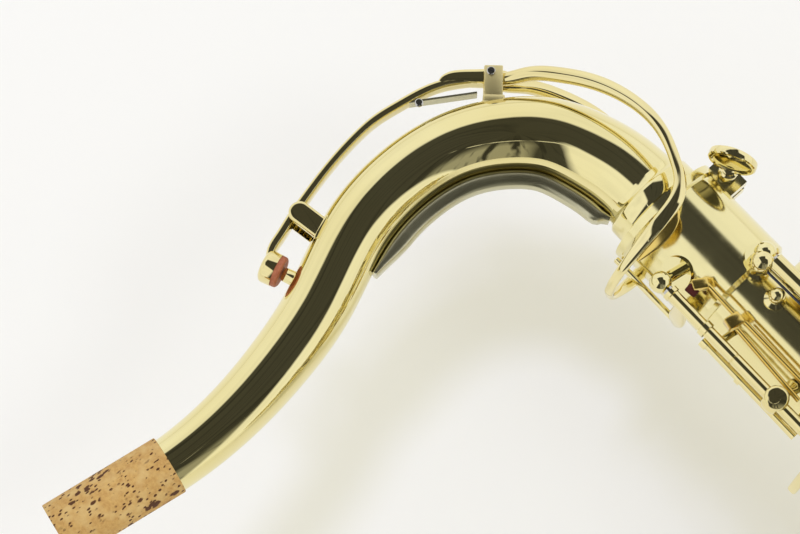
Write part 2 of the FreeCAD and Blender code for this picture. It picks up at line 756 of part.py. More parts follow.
neck_centres = [neck_point(reach, rise) for reach, rise, _ in NECK_SHARES]
neck_radii = [num("neck_small_radius") + (num("neck_big_radius") - num("neck_small_radius")) * share
              for _, _, share in NECK_SHARES]
neck_curve = Part.BSplineCurve()
neck_curve.interpolate(Points=neck_centres, InitialTangent=neck_centres[1] - neck_centres[0],
                       FinalTangent=neck_centres[-1] - neck_centres[-2])
neck_steps = [neck_curve.parameter(point) for point in neck_centres]


def neck_at(index):
    """Centre, direction and outer radius at a place given as a number among the outline's points."""
    low = min(int(index), len(neck_steps) - 2)
    part_way = index - low
    step = neck_steps[low] + (neck_steps[low + 1] - neck_steps[low]) * part_way
    radius = neck_radii[low] + (neck_radii[low + 1] - neck_radii[low]) * part_way
    along = neck_curve.tangent(step)[0]
    along.normalize()
    return neck_curve.value(step), along, radius


def outward(along):
    """The direction that stands off the neck's upper side."""
    return Vector(0, 1, 0).cross(along)


def neck_solid(inset, over=0.0):
    circles = []
    for index in range(len(neck_centres)):
        centre, along, radius = neck_at(index)
        if index == 0:
            centre = centre - along * over
        if index == len(neck_centres) - 1:
            centre = centre + along * over
        circles.append(Part.Wire([Part.Circle(centre, along, radius - inset).toShape()]))
    return Part.makeLoft(circles, True, False)


neck_core = neck_solid(0)
neck_space = shaped(neck_core)
finish(shaped(neck_core.cut(neck_solid(num("wall"), num("overrun")))), "neck_tube")
cork_end, cork_along, _ = neck_at(len(neck_centres) - 1)
cork_blank = cylinder(S.cork_radius, S.cork_length, cork_end - cork_along * num("cork_length"), cork_along)
cork_middle = cork_end - cork_along * (num("cork_length") / 2)
print(f"PIN mouthpiece_cork {cork_middle.x:.4f} 0 {cork_middle.z:.4f} "
      f"{cork_along.x:.7f} 0 {cork_along.z:.7f}")
finish(cut(cork_blank, [shaped(neck_solid(-num("fit_clearance")))]), "neck_cork")

collar_blank = turned((
    (S.neck_big_radius - S.wall, S.fit_clearance), (S.collar_radius, S.fit_clearance),
    (S.collar_radius, S.collar_height * 0.25), (S.collar_radius * 0.94, S.collar_height * 0.35),
    (S.collar_radius * 0.90, S.collar_height * 0.85), (S.collar_radius * 0.93, S.collar_height),
    (S.neck_big_radius - S.wall, S.collar_height),
), FreeCAD.Placement(Vector(neck_x, 0, neck_z), FreeCAD.Rotation()))
finish(cut(collar_blank, [neck_space]), "neck_collar")
neck_place = FreeCAD.Placement(Vector(neck_x, 0, neck_z), FreeCAD.Rotation())
finish(washer(S.tenon_radius - S.fit_clearance, S.tenon_radius - S.wall * 1.2, -S.tenon_length,
              S.fit_clearance * 0, neck_place), "neck_tenon")

# Brace: a rib that follows the underside of the neck's bend
brace_steps = (2.2, 2.8, 3.6, 4.6, 5.6, 6.6, 7.6, 8.3)
brace_shares = (0.35, 0.9, 1.0, 1.0, 1.0, 1.0, 0.9, 0.35)


def under_neck(index, offset):
    centre, along, radius = neck_at(index)
    inward = along.cross(Vector(0, 1, 0))
    return centre + inward * (radius + offset)


rib_out = [under_neck(step, share * num("brace_depth")) for step, share in zip(brace_steps, brace_shares)]
rib_in = [under_neck(step, -num("brace_depth") / 2) for step in brace_steps]
rib_edges = []
for row in (rib_out, rib_in):
    curve = Part.BSplineCurve()
    curve.interpolate(row)
    rib_edges.append(curve.toShape())
rib_edges.append(Part.LineSegment(rib_out[0], rib_in[0]).toShape())
rib_edges.append(Part.LineSegment(rib_out[-1], rib_in[-1]).toShape())
rib_face = Part.Face(Part.Wire(Part.__sortEdges__(rib_edges)))
rib_face.translate(Vector(0, -num("brace_width") / 2, 0))
finish(shaped(rib_face.extrude(Vector(0, num("brace_width"), 0)).cut(neck_core)), "neck_brace")

# Octave vent nipple on top of the neck
pip_centre, pip_along, pip_neck_radius = neck_at(8.83)
pip_out = outward(pip_along)
pip_base = pip_centre + pip_out * (pip_neck_radius - num("pip_height"))
pip_top = pip_centre + pip_out * (pip_neck_radius + num("pip_height"))
pip_blank = fuse([cylinder(S.pip_radius, S.pip_height * 2, pip_base, pip_out),
                  cylinder(S.pip_radius * 1.4, S.pip_height * 1.25, pip_base, pip_out)])
pip_hole = cylinder(S.vent_bore, S.pip_height * 4, pip_base - pip_out * num("pip_height"), pip_out)
finish(cut(pip_blank, [pip_hole, neck_space]), "octave_vent_nipple")


def upright(outline, half_width):
    """A plate across the neck's plane, cut to an outline of points in that plane."""
    face = Part.Face(Part.makePolygon(outline + [outline[0]]))
    face.translate(Vector(0, -half_width, 0))
    return face.extrude(Vector(0, 2 * half_width, 0))


# Saddle: two posts on a foot plate, that carry the octave key's pivot screw
saddle_centre, saddle_along, saddle_radius = neck_at(5.16)
saddle_out = outward(saddle_along)
pivot = saddle_centre + saddle_out * num("pivot_height")
strip_half = num("octave_strip_width") / 2
post_width = S.pivot_radius * 3.2
saddle_parts = []
for sign in (-1, 1):
    y = sign * (strip_half + num("running_gap") + float(post_width) / 4)
    post_height = S.pivot_height - S.neck_small_radius
    stand = doc.addObject("Part::Box", "saddle_post")
    bind(stand, "Length", post_width)
    bind(stand, "Width", post_width / 2)
    bind(stand, "Height", post_height)
    middle = FreeCAD.Placement(Vector(-float(post_width) / 2, -float(post_width) / 4, 0), FreeCAD.Rotation())
    base = pivot - saddle_out * float(post_height) + Vector(0, y, 0)
    stand.Placement = FreeCAD.Placement(base, FreeCAD.Rotation(Vector(0, 0, 1), saddle_out)) * middle
    round_base = pivot + Vector(0, y - float(post_width) / 4, 0)
    top_round = cylinder(post_width / 2, post_width / 2, round_base, (0, 1, 0))
    saddle_parts += [stand, top_round]
foot_low = pivot - saddle_out * (num("pivot_height") - num("neck_small_radius"))
foot_high = S.pivot_height * 0.24
saddle_parts.append(cylinder(S.octave_strip_width * 1.1, foot_high, foot_low, saddle_out))
saddle_bore = cylinder(S.pivot_radius + S.fit_clearance, S.octave_strip_width * 4,
                       pivot - Vector(0, 2 * num("octave_strip_width"), 0), (0, 1, 0))
finish(cut(fuse(saddle_parts), [neck_space, saddle_bore]), "octave_saddle")
screw_reach = strip_half + num("running_gap") + float(post_width) / 2
pivot_pin = cylinder(S.pivot_radius, (S.octave_strip_width / 2 + S.running_gap + post_width / 2) * 2,
                     pivot - Vector(0, screw_reach, 0), (0, 1, 0))
head_base = pivot - Vector(0, screw_reach, 0)
pivot_head = cylinder(S.pivot_radius * 1.35, S.pivot_radius * 0.7, head_base, (0, -1, 0))
finish(fuse([pivot_pin, pivot_head]), "octave_pivot_screw")

# Guide: two oval cheeks that the octave strip runs between
guide_centre, guide_along, guide_neck = neck_at(8.25)
guide_out = outward(guide_along)
guide_mid = guide_centre + guide_out * (guide_neck + num("guide_radius") * 1.1)
cheeks = []
for sign in (-1, 1):
    y = sign * (strip_half + num("running_gap") * 2) + (0 if sign > 0 else -num("guide_wall"))
    cheeks.append(cylinder(S.guide_radius, S.guide_wall, guide_mid + Vector(0, y, 0), (0, 1, 0)))
guide_foot = cylinder(S.octave_strip_width * 0.95, S.guide_radius * 0.9,
                      guide_centre + guide_out * (guide_neck - num("guide_radius") * 0.45), guide_out)
finish(cut(fuse(cheeks + [guide_foot]), [neck_space]), "octave_guide")

# Octave key: strip over the neck, pivot barrel, two arms round the neck and the band round the receiver
strip_top_shares = ((-0.512, 1.172), (-0.478, 1.222), (-0.418, 1.262), (-0.310, 1.335), (-0.182, 1.330),
                    (-0.106, 1.290), (-0.062, 1.190), (-0.020, 1.120), (0.010, 0.985))
strip_points = [neck_point(reach, rise) for reach, rise in strip_top_shares]
strip_curve = Part.BSplineCurve()
strip_curve.interpolate(strip_points)


def strip_offset(share, offset):
    step = strip_curve.FirstParameter + share * (strip_curve.LastParameter - strip_curve.FirstParameter)
    along = strip_curve.tangent(step)[0]
    side = along.cross(Vector(0, 1, 0))
    return strip_curve.value(step) - side * offset


strip_rows = [[strip_offset(count / 16, offset) for count in range(17)]
              for offset in (0.0, num("octave_strip"))]
strip_edges = []
for row in strip_rows:
    curve = Part.BSplineCurve()
    curve.interpolate(row)
    strip_edges.append(curve.toShape())
strip_edges.append(Part.LineSegment(strip_rows[0][0], strip_rows[1][0]).toShape())
strip_edges.append(Part.LineSegment(strip_rows[0][-1], strip_rows[1][-1]).toShape())
strip_face = Part.Face(Part.Wire(Part.__sortEdges__(strip_edges)))
strip_face.translate(Vector(0, -strip_half, 0))
strip_solid = strip_face.extrude(Vector(0, 2 * strip_half, 0))
barrel = cylinder(S.pivot_radius * 1.9, S.octave_strip_width, pivot - Vector(0, strip_half, 0), (0, 1, 0))
ring_low = -num("octave_ring_height") * 1.5
ring_radius = num("octave_ring_radius")
ring_mid = ring_radius + num("octave_ring_wall") / 2
ring_edge = math.radians(66.0)
arm_side_shares = (
    (-0.02, 0.10, 1.05), (0.10, 0.45, 0.94), (0.36, 0.80, 0.66), (0.50, 0.93, 0.38), (0.47, 0.95, 0.13),
)
arm_shapes = []
for sign in (-1, 1):
    path = [Vector(neck_x + x * ring_mid, sign * y * ring_mid, neck_z + rise * num("neck_rise"))
            for x, y, rise in arm_side_shares]
    path.append(Vector(neck_x + ring_mid * math.cos(ring_edge), sign * ring_mid * math.sin(ring_edge),
                       neck_z + ring_low + num("octave_ring_height") * 0.4))
    curve = Part.BSplineCurve()
    curve.interpolate(path)
    spine = Part.Wire([curve.toShape()])
    start = curve.tangent(curve.FirstParameter)[0]
    profile = Part.Wire([Part.Circle(path[0], start, num("octave_arm_radius")).toShape()])
    arm_shapes.append(shaped(spine.makePipeShell([profile], True, True)))
band_place = FreeCAD.Placement(Vector(neck_x, 0, neck_z + ring_low), FreeCAD.Rotation())
band_ring = washer(S.octave_ring_radius + S.octave_ring_wall, S.octave_ring_radius, ZERO,
                   S.octave_ring_height, band_place)
band_mouth = box(S.octave_ring_radius * 2, S.octave_ring_radius * (2 * math.sin(ring_edge)),
                 S.octave_ring_height * 3, (neck_x + ring_mid * math.cos(ring_edge), 0, neck_z + ring_low))
eye_x = neck_x - ring_radius - num("octave_ring_wall") - num("octave_arm_radius")
eye = cylinder(S.octave_arm_radius * 1.5, S.octave_ring_height, (eye_x, 0, neck_z + ring_low))
eye_hole = cylinder(S.octave_arm_radius * 0.75, S.octave_ring_height * 3, (eye_x, 0, neck_z + ring_low * 2))
pad_up = pip_out
pad_seat = pip_top + pad_up * (num("pad_gap") * 0.5)
pad_disc = cylinder(S.octave_pad_radius, S.pad_proud * 2.2, pad_seat, pad_up)
pad_back = pad_seat + pad_up * float(S.pad_proud * 2.2)
pad_cup = cylinder(S.octave_pad_radius + S.cup_wall, S.octave_strip * 1.3, pad_back, pad_up)
pin_bore = cylinder(S.pivot_radius + S.fit_clearance, S.octave_strip_width * 2,
                    pivot - Vector(0, num("octave_strip_width"), 0), (0, 1, 0))
octave_metal = fuse([shaped(strip_solid), barrel, pad_cup, cut(band_ring, [band_mouth]), eye] + arm_shapes)
finish(cut(octave_metal, [pin_bore, eye_hole]), "octave_key")
finish(group([pad_disc]), "octave_pad")
print(f"HINGE octave_key {pivot.x:.4f} {pivot.y:.4f} {pivot.z:.4f} 0 1 0 {num('octave_lift'):.3f}")

# Leaf spring under the strip, held by its screw
spring_start = strip_offset(0.60, num("octave_strip"))
spring_end, end_along, _ = neck_at(5.42)
foot_top = num("neck_small_radius") + float(foot_high)
spring_end = spring_end + outward(end_along) * (foot_top + num("running_gap") + num("spring_thickness"))
leaf_along = (spring_end - spring_start).normalize()
leaf_side = leaf_along.cross(Vector(0, 1, 0)) * num("spring_thickness")
leaf_outline = [spring_start, spring_end, spring_end + leaf_side, spring_start + leaf_side]
leaf = upright(leaf_outline, num("spring_width") / 2)
leaf = leaf.cut(strip_solid)
finish(shaped(leaf), "octave_spring")

# Octave mechanism on the body: the hinge beside the receiver turns a pin inside the neck key's band
octave_azimuth = math.radians(-138.0)
line_x = tube_x + num("octave_line_radius") * math.cos(octave_azimuth)
line_y = num("octave_line_radius") * math.sin(octave_azimuth)
octave_frame = FreeCAD.Placement(Vector(line_x, line_y, top_z), FreeCAD.Rotation(
    Vector(1, 0, 0), Vector(0, -1, 0), Vector(0, 0, -1), "ZXY"))
octave_low, octave_high = 0.031 * length, 0.122 * length
pin_x = tube_x - (num("receiver_radius") + ring_radius) / 2 - num("receiver_lip") / 2
pin_spot = (pin_x - line_x, line_y)
pin_radius = (S.octave_ring_radius - S.receiver_radius - S.receiver_lip) * 0.28
linkage_arm = bar((0, 0), pin_spot, octave_low + num("arm_width"), S.arm_width, S.arm_thickness)
linkage_pin = doc.addObject("Part::Cylinder", "pin")
bind(linkage_pin, "Radius", pin_radius)
linkage_pin.Height = octave_low + num("arm_width") - num("octave_ring_height") * 0.3
linkage_pin.Placement.Base = Vector(pin_spot[0], pin_spot[1], num("octave_ring_height") * 0.3)
tail_spot = (pin_x - num("sleeve_radius") * 2 - line_x, line_y - num("thumb_rest_radius") * 1.25)
linkage_tail = bar((0, 0), tail_spot, octave_high - num("arm_width"), S.arm_width, S.arm_thickness)
linkage_solid = cut(fuse([sleeve((0, 0), octave_low, octave_high), linkage_arm, linkage_pin, linkage_tail]),
                    [sleeve_bore((0, 0), octave_low, octave_high)])
linkage = group([linkage_solid])
linkage.Placement = octave_frame
finish(linkage, "octave_linkage")
hinge_report("octave_linkage", octave_frame, (0, 0), -1, 10.5, octave_low, octave_high)
rods.append((octave_frame, (0, 0), octave_low - gap - post_half, octave_high + gap + post_half))
for depth in (octave_low - gap - post_half, octave_high + gap + post_half):
    posts.append((octave_frame, (0, 0), depth))

# Left thumb: octave lever behind the tube, and the round thumb rest below it
thumb_depth = 0.215 * length
lever_y = num("thumb_rest_radius") * 1.15
lever_stand = body_radius(thumb_depth) + num("post_ball_radius") + num("sleeve_radius")
lever_hinge = Vector(tube_x - lever_stand, lever_y, top_z - thumb_depth)
lever_run = thumb_depth - octave_high - num("arm_width")
lever_reach = Measure(lever_run, f"({S.body_length.text} * {lever_run / length})")
lever_arm = box(lever_reach, S.arm_width, S.arm_thickness, lever_hinge, -90.0 - lean, (0, 1, 0))
barrel_base = lever_hinge - Vector(0, num("arm_width"), 0)
lever_barrel = cylinder(S.sleeve_radius, S.arm_width * 2, barrel_base, (0, 1, 0))
touch_centre = lever_hinge + Vector(0, 0, -num("thumb_rest_radius") * 1.4)
lever_neck = box(S.thumb_rest_radius * 1.2, S.arm_width, S.arm_thickness, lever_hinge, 97.0, (0, 1, 0))
lever_touch = cylinder(S.thumb_rest_radius * 0.65, S.touch_thickness, touch_centre, (-1, 0, 0.12))
bore_base = lever_hinge - Vector(0, num("arm_width") * 2, 0)
lever_bore = cylinder(S.rod_radius + S.fit_clearance, S.arm_width * 4, bore_base, (0, 1, 0))
finish(cut(fuse([lever_arm, lever_barrel, lever_neck, lever_touch]), [lever_bore]), "octave_thumb_lever")
print(f"HINGE octave_thumb_lever {lever_hinge.x:.4f} {lever_hinge.y:.4f} {lever_hinge.z:.4f} 0 -1 0 2.000")
lever_pin = cylinder(S.rod_radius, S.arm_width * 2 + S.sleeve_radius * 4,
                     lever_hinge - Vector(0, num("arm_width") + num("sleeve_radius") * 2, 0), (0, 1, 0))
ear_parts = []
for sign in (-1, 1):
    y = lever_y + sign * (num("arm_width") + num("running_gap") + num("sleeve_radius"))
    foot = Vector(tube_x - body_radius(thumb_depth) * 0.5, y, lever_hinge.z)
    stem_run = lever_hinge.x - foot.x
    stem = doc.addObject("Part::Cylinder", "stem")
    bind(stem, "Radius", S.post_stem_radius)
    stem.Height = -stem_run
    stem.Placement = facing(foot, (-1, 0, 0))
    ball = sphere(S.sleeve_radius, (lever_hinge.x, y, lever_hinge.z))
    ear = cut(fuse([stem, ball]), [body_core, lever_pin])
    ear_parts.append(ear)
rest_depth = thumb_depth + num("thumb_rest_radius") * 4.15
rest_frame = cone_frame(160.0)
rest_turn = FreeCAD.Rotation(Vector(0, 0, 1), Vector(0, 1, 0))
rest_blank = turned((
    (ZERO, -S.thumb_rest_height), (S.thumb_rest_radius * 0.7, -S.thumb_rest_height),
    (S.thumb_rest_radius * 0.7, S.running_gap), (S.thumb_rest_radius, S.thumb_rest_height * 0.4),
    (S.thumb_rest_radius * 0.9, S.thumb_rest_height * 0.8),
    (S.thumb_rest_radius * 0.4, S.thumb_rest_height), (ZERO, S.thumb_rest_height),
), rest_frame * FreeCAD.Placement(Vector(0, 0, rest_depth), rest_turn))
finish(cut(rest_blank, [body_core]), "thumb_rest")

# Posts, rods and needle springs
post_solids = ear_parts
rod_solids = [lever_pin]
needle_solids = []
for frame, spot, low, high in rods:
    rod = doc.addObject("Part::Cylinder", "rod")
    bind(rod, "Radius", S.rod_radius)
    rod.Height = high - low + num("post_ball_radius") * 1.4
    rod_base = Vector(spot[0], spot[1], low - num("post_ball_radius") * 0.7)
    rod.Placement = frame * FreeCAD.Placement(rod_base, FreeCAD.Rotation())
    rod_solids.append(rod)
    if frame is octave_frame:
        continue
    needle_start = (spot[0], spot[1] - num("sleeve_radius") - num("needle_radius") * 2,
                    low + num("post_stem_radius") + num("running_gap"))
    needle = doc.addObject("Part::Cylinder", "needle")
    bind(needle, "Radius", S.needle_radius)
    bind(needle, "Height", S.needle_length)
    needle.Placement = frame * FreeCAD.Placement(Vector(*needle_start), FreeCAD.Rotation())
    needle_solids.append(needle)
receiver_core = cylinder(S.receiver_radius, S.receiver_length + S.post_foot_radius * 2,
                         (tube_x, 0, top_z - num("receiver_length") - num("post_foot_radius") * 2))


def carrier(point):
    """The nearest point of the tube's centre line, the radius there and the piece that carries a foot."""
    if point.z >= top_z - num("receiver_length") - num("post_foot_radius"):
        return Vector(tube_x, 0, point.z), num("receiver_radius"), receiver_core
    if point.z >= bow_z:
        return Vector(tube_x, 0, point.z), body_radius(top_z - point.z), body_core
    bend = Vector(tube_x + num("bow_radius"), 0, bow_z)
    spoke = Vector(point.x, 0, point.z) - bend
    turn_share = math.atan2(-spoke.z, -spoke.x) / math.pi
    spoke.normalize()
    radius = num("body_bottom_radius") + bow_growth * turn_share
    return bend + spoke * num("bow_radius"), radius, core_shapes["bow"]


for frame, spot, depth in posts:
    ball = frame.multVec(Vector(spot[0], spot[1], depth))
    centre, radius, core = carrier(ball)
    out = ball - centre
    reach = out.Length
    out.normalize()
    foot_base = centre + out * (radius - num("post_foot_radius") * 0.6)
    seat_height = S.post_foot_radius * 0.6 + S.post_foot_thickness
    stem = doc.addObject("Part::Cylinder", "stem")
    bind(stem, "Radius", S.post_stem_radius)
    stem.Height = reach - radius + num("post_foot_radius") * 0.6
    stem.Placement = facing(foot_base, out)
    foot_disc = cylinder(S.post_foot_radius, seat_height, foot_base, out)
    post = fuse([foot_disc, stem, sphere(S.post_ball_radius, ball)])
    down = frame.Rotation.multVec(Vector(0, 0, 1))
    hole = cylinder(S.rod_radius, S.post_ball_radius * 4, ball - down * (num("post_ball_radius") * 2), down)
    near = [outer for middle, span, outer in towers if (middle - foot_base).Length < span]
    post_solids.append(cut(post, [core, hole] + near))
doc.recompute()
finish(group(post_solids), "key_posts")
finish(group(rod_solids), "hinge_rods")
finish(group(needle_solids), "needle_springs")

# Strap ring: a plate on the back of the tube with a round eye
strap_frame = cone_frame(180.0)
eye_ring = washer(S.strap_eye_radius + S.strap_wire, S.strap_eye_radius, -S.strap_wire / 2, S.strap_wire / 2,
                  FreeCAD.Placement(Vector(), FreeCAD.Rotation(Vector(1, 0, 0), 90)))
plate_reach = S.strap_standoff + S.strap_plate_width * 0.4
plate_x = num("strap_eye_radius") + num("strap_wire") * 0.6
strap_foot = box(plate_reach, S.strap_plate_width, S.strap_plate_width * 1.6, (plate_x, 0, 0))
eye_base = (0, num("strap_plate_width"), 0)
strap_hole = cylinder(S.strap_eye_radius, S.strap_plate_width * 2, eye_base, (0, -1, 0))
finish(cut(fuse([eye_ring, strap_foot]), [body_core, strap_hole]), "strap_ring")

# Thumb hook for the right hand: a plate on the tube and a hook that slides on it
hook_depth = 0.60 * length
hook_x = tube_x - body_radius(hook_depth)
hook_z = top_z - hook_depth
plate_base = (hook_x - num("hook_thickness"), 0, hook_z)
plate_blank = box(S.hook_thickness + S.overrun, S.hook_width, S.hook_plate_length, plate_base)
finish(cut(plate_blank, [body_core]), "thumb_hook_plate")
slide_x = hook_x - num("hook_thickness") - num("running_gap")
back_x = slide_x - num("hook_thickness")
hook_back = box(S.hook_thickness, S.hook_width, S.hook_width * 1.4, (back_x, 0, hook_z))
shelf_base = (slide_x - num("hook_reach"), 0, hook_z + num("hook_width") * 0.6)
hook_shelf = box(S.hook_reach, S.hook_width, S.hook_thickness, shelf_base)
hook_tip = box(S.hook_thickness, S.hook_width, S.hook_width * 0.8,
               (slide_x - num("hook_reach"), 0, hook_z + num("hook_width") * 0.3))
hook_head_base = (back_x, 0, hook_z - num("hook_width") * 0.3)
hook_screw_head = cylinder(S.clamp_head_radius * 0.8, S.clamp_head_thickness, hook_head_base, (-1, 0, 0))
finish(fuse([hook_back, hook_shelf, hook_tip, hook_screw_head]), "thumb_hook")
print(f"SLIDE thumb_hook {slide_x:.4f} 0 {hook_z:.4f} 0 0 1 6.000")
print(f"HINGE neck_clamp_screw {clamp_x:.4f} 0 {lug_z:.4f} 0 -1 0 180.000")
print(f"HINGE neck {neck_x:.4f} 0 {neck_z:.4f} 0 0 1 25.000")

# Brace between body and bell: a ring with two feet
brace_z = bow_z + num("bell_length") * 0.735
brace_depth_here = top_z - brace_z
brace_near = tube_x + body_radius(brace_depth_here)
brace_far = bell_x - bell_radius(brace_depth_here)
brace_x = (brace_near + brace_far) / 2
brace_ring = doc.addObject("Part::Torus", "brace_ring")
bind(brace_ring, "Radius1", S.bell_brace_radius)
bind(brace_ring, "Radius2", S.brace_wire)
brace_ring.Placement = facing((brace_x, 0, brace_z), (0, 1, 0))
brace_parts = [brace_ring]
for sign, wall_x in ((-1, brace_near), (1, brace_far)):
    reach = abs(wall_x - brace_x) - num("bell_brace_radius") + num("post_foot_radius")
    leg = doc.addObject("Part::Cylinder", "leg")
    bind(leg, "Radius", S.brace_wire * 0.8)
    leg.Height = reach
    leg.Placement = facing((brace_x + sign * num("bell_brace_radius"), 0, brace_z), (sign, 0, 0))
    pad = cylinder(S.post_foot_radius * 1.6, S.post_foot_radius * 2,
                   (wall_x - sign * num("post_foot_thickness") * 2, 0, brace_z), (sign, 0, 0))
    brace_parts += [leg, pad]
finish(cut(fuse(brace_parts), [body_core, core_shapes["bell"]]), "bell_brace")

# Guards over the low cups, each with a felt stop that the open cup would meet
guard_solids = []
felt_solids = []
guarded = ((low_bb_share, S.low_bb_cup), (low_b_share, S.low_b_cup), (low_cs_share, S.low_cs_cup))
for share, diameter in guarded:
    radius_here = bell_radius(share * length)
    z = top_z - share * length
    foot_x = bell_x + float(diameter) / 2 + num("guard_width") * 0.4
    top_y = radius_here + float(closed_top) + num("guard_rise")
    leg = doc.addObject("Part::Box", "guard_leg")
    bind(leg, "Length", S.guard_thickness)
    bind(leg, "Height", S.guard_width)
    leg.Width = top_y
    leg.Placement.Base = Vector(foot_x, 0, z - num("guard_width") / 2)
    top_bar = doc.addObject("Part::Box", "guard_bar")
    bind(top_bar, "Width", S.guard_thickness)
    bind(top_bar, "Height", S.guard_width)
    top_bar.Length = foot_x - bell_x + num("guard_thickness")
    top_bar.Placement.Base = Vector(bell_x, top_y - num("guard_thickness"), z - num("guard_width") / 2)
    tip_base = (bell_x, top_y - num("guard_thickness"), z)
    tip = cylinder(S.felt_radius * 1.2, S.guard_thickness, tip_base, (0, 1, 0))
    guard_solids.append(cut(fuse([leg, top_bar, tip]), [core_shapes["bell"]]))
    felt_solids.append(cylinder(S.felt_radius, S.felt_thickness, tip_base, (0, -1, 0)))
finish(group(guard_solids), "bell_key_guards")
finish(group(felt_solids), "guard_felts")

doc.recompute()
faults = [item.Label for item in doc.Objects if {"Invalid", "Error"} & set(item.State)]
if faults:
    raise SystemExit(f"these objects failed: {faults}")
for node in nodes:
    if node.Shape.isNull() or not node.Shape.isValid() or not node.Shape.Solids:
        raise SystemExit(f"{node.Label} has no valid shape")
for node in nodes:
    node.Shape.exportStep(f"parts/{node.Label}.step")
    print(f"{node.Label}: {len(node.Shape.Solids)} solids, {node.Shape.Volume:.0f} cubic mm")
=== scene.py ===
import json
import math

import bmesh
import bpy
import numpy as np
from mathutils import Matrix, Vector

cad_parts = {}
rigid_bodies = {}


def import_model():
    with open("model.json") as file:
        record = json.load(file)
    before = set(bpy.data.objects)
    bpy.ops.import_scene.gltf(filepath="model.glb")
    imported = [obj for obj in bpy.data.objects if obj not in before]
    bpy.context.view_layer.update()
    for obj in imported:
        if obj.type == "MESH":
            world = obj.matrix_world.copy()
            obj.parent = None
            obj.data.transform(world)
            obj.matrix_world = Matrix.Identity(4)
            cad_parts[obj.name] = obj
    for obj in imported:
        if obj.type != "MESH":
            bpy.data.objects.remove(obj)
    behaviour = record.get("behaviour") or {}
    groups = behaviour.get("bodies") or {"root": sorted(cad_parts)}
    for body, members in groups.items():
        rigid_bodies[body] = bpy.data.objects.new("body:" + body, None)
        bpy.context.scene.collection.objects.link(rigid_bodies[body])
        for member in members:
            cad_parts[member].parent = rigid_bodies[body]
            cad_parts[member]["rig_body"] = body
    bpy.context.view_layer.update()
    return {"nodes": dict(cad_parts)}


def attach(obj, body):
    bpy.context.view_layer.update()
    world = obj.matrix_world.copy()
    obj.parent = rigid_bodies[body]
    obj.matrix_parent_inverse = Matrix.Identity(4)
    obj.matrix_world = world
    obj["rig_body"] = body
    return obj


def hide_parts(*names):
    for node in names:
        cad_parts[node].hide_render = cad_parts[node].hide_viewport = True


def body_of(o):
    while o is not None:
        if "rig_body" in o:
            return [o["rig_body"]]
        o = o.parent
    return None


# Tenor saxophone. The body tube stands along Z, the bell is towards +X and the player's left is +Y.
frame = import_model()
nodes = frame["nodes"]

# Main sizes in millimetres
MM = 0.001
TUBE_X, RIM_Z = 36.0088, 270.0
BODY_LENGTH, BODY_TOP_RADIUS, BODY_FOOT_RADIUS = 680.0, 13.6, 31.0
BOW_RADIUS, BOW_Z, BOW_WIDENING = 60.0, -410.0, 9.0
BELL_X, BELL_HEIGHT, BELL_FOOT_RADIUS, BELL_FLARE = TUBE_X + 2 * BOW_RADIUS, 306.0, 40.0, 37.0
NECK_REACH, NECK_RISE, NECK_WALL = 184.0, 55.4, 0.9
NECK_END_RADIUS, NECK_WIDENING = 7.3, 4.9
CORK_LENGTH, CORK_RADIUS, CORK_BORE, CORK_END_BORE, CORK_EDGE = 35.0, 8.5, 7.95, 7.4, 0.2

AXIS_Y, AXIS_Z = Vector((0, 1, 0)), Vector((0, 0, 1))


def at(x, y, z):
    """A place given in millimetres from the centre of the receiver's rim."""
    return Vector((TUBE_X + x, y, RIM_Z + z)) * MM


# Node helpers
MIX_INPUTS, MIX_RESULT = (0, 6, 7), 2


def link(tree, source, target):
    tree.links.new(source, target)


def add(tree, kind, **settings):
    node = tree.nodes.new(kind)
    for name, setting in settings.items():
        setattr(node, name, setting)
    return node


def feed(tree, entry, source):
    """Sets an input to a number or a colour, or links it to another node's output."""
    if isinstance(source, (float, int)):
        entry.default_value = source
    elif isinstance(source, tuple):
        entry.default_value = (*source, 1.0)
    else:
        link(tree, source, entry)


def ramp(tree, source, low, high):
    """Rises from 0 to 1 while the source goes from low to high."""
    node = add(tree, "ShaderNodeMapRange")
    node.inputs["From Min"].default_value = low
    node.inputs["From Max"].default_value = high
    link(tree, source, node.inputs["Value"])
    return node.outputs["Result"]


def mixed(tree, factor, one, two):
    node = add(tree, "ShaderNodeMix", data_type="RGBA")
    for index, source in zip(MIX_INPUTS, (factor, one, two)):
        feed(tree, node.inputs[index], source)
    return node.outputs[MIX_RESULT]


def value(tree, operation, *sources):
    """One sum of sockets and numbers."""
    node = add(tree, "ShaderNodeMath", operation=operation)
    for entry, source in zip(node.inputs, sources):
        feed(tree, entry, source)
    return node.outputs[0]


def noise(tree, vector, scale, detail=2.0, roughness=0.5):
    node = add(tree, "ShaderNodeTexNoise")
    node.inputs["Scale"].default_value = scale
    node.inputs["Detail"].default_value = detail
    node.inputs["Roughness"].default_value = roughness
    link(tree, vector, node.inputs["Vector"])
    return node.outputs["Fac"]


def raised(tree, height, strength, depth):
    """Normals of a surface with a low relief, its depth in metres."""
    node = add(tree, "ShaderNodeBump")
    node.inputs["Distance"].default_value = depth
    feed(tree, node.inputs["Strength"], strength)
    link(tree, height, node.inputs["Height"])
    return node.outputs["Normal"]


def object_place(tree):
    return add(tree, "ShaderNodeTexCoord").outputs["Object"]


# Materials
CLEAN_ROUGHNESS, COAT_ROUGHNESS = 0.035, 0.03
WAVE_DEPTH = 0.001


